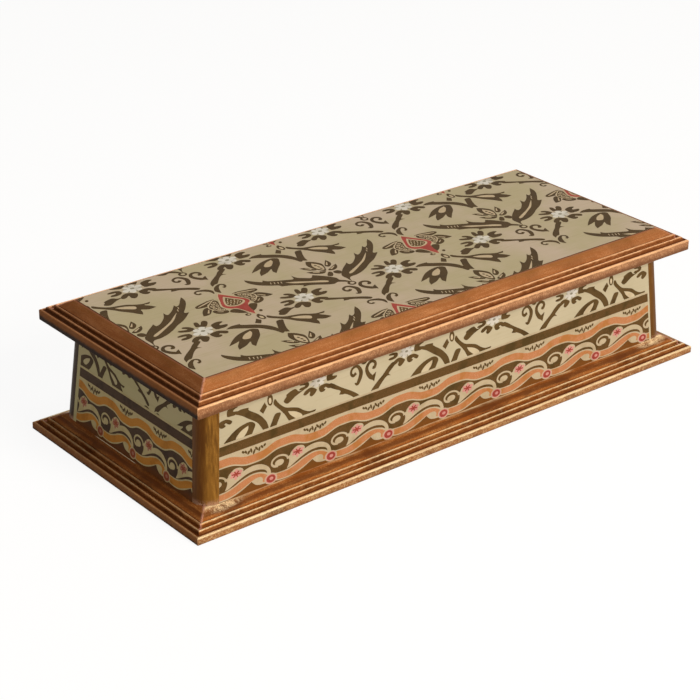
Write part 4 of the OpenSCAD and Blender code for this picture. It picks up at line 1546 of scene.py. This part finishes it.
class Box:
    """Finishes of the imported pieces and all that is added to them."""

    def inks(self, ground: bpy.types.Material, where: str, umber: str, pale: str,
             end_lighting: bool = False) -> dict[Tint, bpy.types.Material]:
        """Mixes the colours of one kind of sheet.

        Args:
            ground: the sheet's ground finish.
            where: start of the names.
            umber: its dark brown.
            pale: the fine light lines in its flowers.
            end_lighting: whether the inks are the copies recoloured as painted light and shade for the short sides.

        Returns:
            A material per colour.
        """
        colours = {
            Tint.UMBER: (umber, "#695530", "#3b2b13"),
            Tint.SHADE: ("#614826", "#7c5638", "#4c3c1c", 0.8, "#7c4a1c"),
            Tint.CREAM: ("#c3b293", "#d4c3a8", "#ae9a78"),
            Tint.PALE: (pale, "#dccab0", "#b09a7a", 0.4),
            Tint.STONE: ("#8f8a78", "#a5a08e", "#706a58", 0.4),
            Tint.WHITE: ("#d6d2c8", "#eae6de", "#b0a898", 0.6),
            Tint.ROSE: ("#d3958c", "#e2b6a6", "#c07a76", 0.7),
            Tint.RED: ("#a0443a", "#b85c4c", "#86342b"),
            Tint.SALMON: ("#c08155", "#d09674", "#b3763e", 0.9),
        }
        # The short sides' border inks: copies recoloured as painted light and shade for how those sides are lit.
        if end_lighting:
            colours.update({
                Tint.SHADE: ("#4c3827", "#5f4834", "#382718", 0.8, "#6c3e18"),
                Tint.CREAM: ("#cfc094", "#dccfa6", "#b3a274"),
                Tint.ROSE: ("#b57c6c", "#c69184", "#9c6456", 0.7),
                Tint.RED: ("#9a5232", "#ae6844", "#7e3e26"),
                Tint.SALMON: ("#cb8b3a", "#d99c50", "#b4762c", 0.8),
            })
        mixed = {tint: InlayColour(f"{where}_{tint.value}", *colour).mix() for tint, colour in colours.items()}
        mixed[Tint.GROUND] = ground
        return mixed

    def paint(self, nodes: Iterable[str], material: bpy.types.Material) -> None:
        """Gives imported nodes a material.

        Args:
            nodes: their names.
            material: the finish.
        """
        for name in nodes:
            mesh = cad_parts[name].data
            mesh.materials.clear()
            mesh.materials.append(material)

    def finish_nodes(self) -> tuple[bpy.types.Material, bpy.types.Material, bpy.types.Material]:
        """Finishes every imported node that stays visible.

        Returns:
            The ground finishes of the lid sheet, of the long wall sheets and of the short ones.
        """
        lid_gilt = GiltPaint("gilt_lid", rim_x=145.7, rim_y=60.7, rim_top=60.4)
        # The plinth's paint: its golden crest colour and streak add painted highlights and lighten its painted shade on
        # the short sides.
        foot_gilt = GiltPaint("gilt_plinth", rim_x=150.0, rim_y=65.0, rim_top=3.7, body="#94531f", bright="#dd9f5c",
                              thin="#5d2f0e", crest="#ffe8b8", rubbed="#a27a50", aged="#7a4518", worn=0.65, streak=1.0)
        top = SheetGround("lid_ground", "#b1a583", "#bfad98", "#9c8d6a").mix()
        wall = SheetGround("wall_ground", "#c3b89a", "#cabfa2", "#b0a27e").mix()
        # The short sheets' ground: a copy of the wall ground recoloured as painted light for the short sides, its grain
        # turned.
        end = SheetGround("end_ground", "#cdc29a", "#c6bf92", "#a89c70", (1.0, 0.05, 1.0)).mix()
        names = list(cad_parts)
        self.paint([f"lid_rail_{side.word}" for side in Side], lid_gilt.mix())
        self.paint([f"plinth_{side.word}" for side in Side], foot_gilt.mix())
        self.paint([name for name in names if name.startswith("post_")], PostPaint().mix())
        self.paint(["lid_sheet_top"], top)
        self.paint(["sheet_front", "sheet_back"], wall)
        self.paint(["sheet_left", "sheet_right"], end)
        self.paint(["wall_front", "wall_back", "bottom_board", "lid_board"], BareWood("bare_wood_long", 0).mix())
        self.paint(["wall_left", "wall_right"], BareWood("bare_wood_short", 1).mix())
        self.paint([name for name in names if name.startswith("hinge_") or name.endswith("_screws")], OldBrass().mix())
        log.info("finished %d packed nodes", len(names))
        return top, wall, end

    def build_sheets(self, top: bpy.types.Material, wall: bpy.types.Material, end: bpy.types.Material) -> None:
        """Builds the pattern on the lid and the four walls.

        Args:
            top: ground finish of the lid sheet.
            wall: ground finish of the long wall sheets.
            end: ground finish of the short wall sheets.
        """
        pattern = FlowerPattern()
        pattern.model()
        border = WaveBorder().model()
        made = LidSheet().build(pattern, self.inks(top, "lid_inlay", "#453213", "#bfac8c"))
        # The end inks are copies of the wall inks recoloured as painted light and shade for the short sides.
        inks = {True: self.inks(wall, "wall_inlay", "#604a2a", "#d2c3a2"),
                False: self.inks(end, "end_inlay", "#4d3a20", "#d2c8a0", end_lighting=True)}
        sizes = {True: {"origin": -0.3, "scale": 0.943, "palmette_height": 63.4, "bead_origin": -5.9,
                        "border_scale": 1.0, "foot": 9.0, "rise": 1.0, "band_low": 29.15, "band_high": 33.75,
                        "margin_left": 0.0, "margin_right": 1.2},
                 False: {"origin": -25.4, "scale": 0.726, "palmette_height": 62.3, "bead_origin": -24.1,
                         "border_scale": 0.785, "foot": 10.0, "rise": 1.09, "band_low": 32.3, "band_high": 36.8,
                         "margin_left": 2.4, "margin_right": 0.0}}
        for side in Side:
            made += WallSheet(side, **sizes[side.long]).build(pattern, border, inks[side.long])
        for name in made:
            log.info("piece %s", name)
        border.remove()
        pattern.put_away()

    def build_linings(self) -> None:
        """Builds the velvet and felt pieces."""
        velvet = PileCloth("velvet_cloth", "#6b1822", "#8a2a33", "#470f16", sheen=0.6, pile=2600).mix()
        felt = PileCloth("felt_cloth", "#2c4a34", "#3a5b42", "#1e3626", sheen=0.25, pile=1800).mix()
        ways = {"front": (0, 1, 0), "right": (-1, 0, 0), "back": (0, -1, 0), "left": (1, 0, 0), "floor": (0, 0, 1)}
        panels = [(SoftPanel(f"lining_{part}", "body", "velvet", 0.45, 0.9, way, 0.3), velvet)
                  for part, way in ways.items()]
        panels += [(SoftPanel("lid_lining", "lid", "velvet", 0.8, 0.8, (0, 0, -1), 0.9), velvet),
                   (SoftPanel("felt_pad", "body", "green_felt", 0.25, 1.0, (0, 0, -1), 0.1), felt)]
        for panel, cloth in panels:
            log.info("piece %s", panel.build(cloth).name)

    def build(self) -> None:
        """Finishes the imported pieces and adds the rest."""
        self.build_sheets(*self.finish_nodes())
        self.build_linings()


def main() -> None:
    """Builds the studio and the box."""
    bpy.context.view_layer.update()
    Studio().build()
    Box().build()
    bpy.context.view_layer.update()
    Bench.clear()


if __name__ == "__main__":
    main()
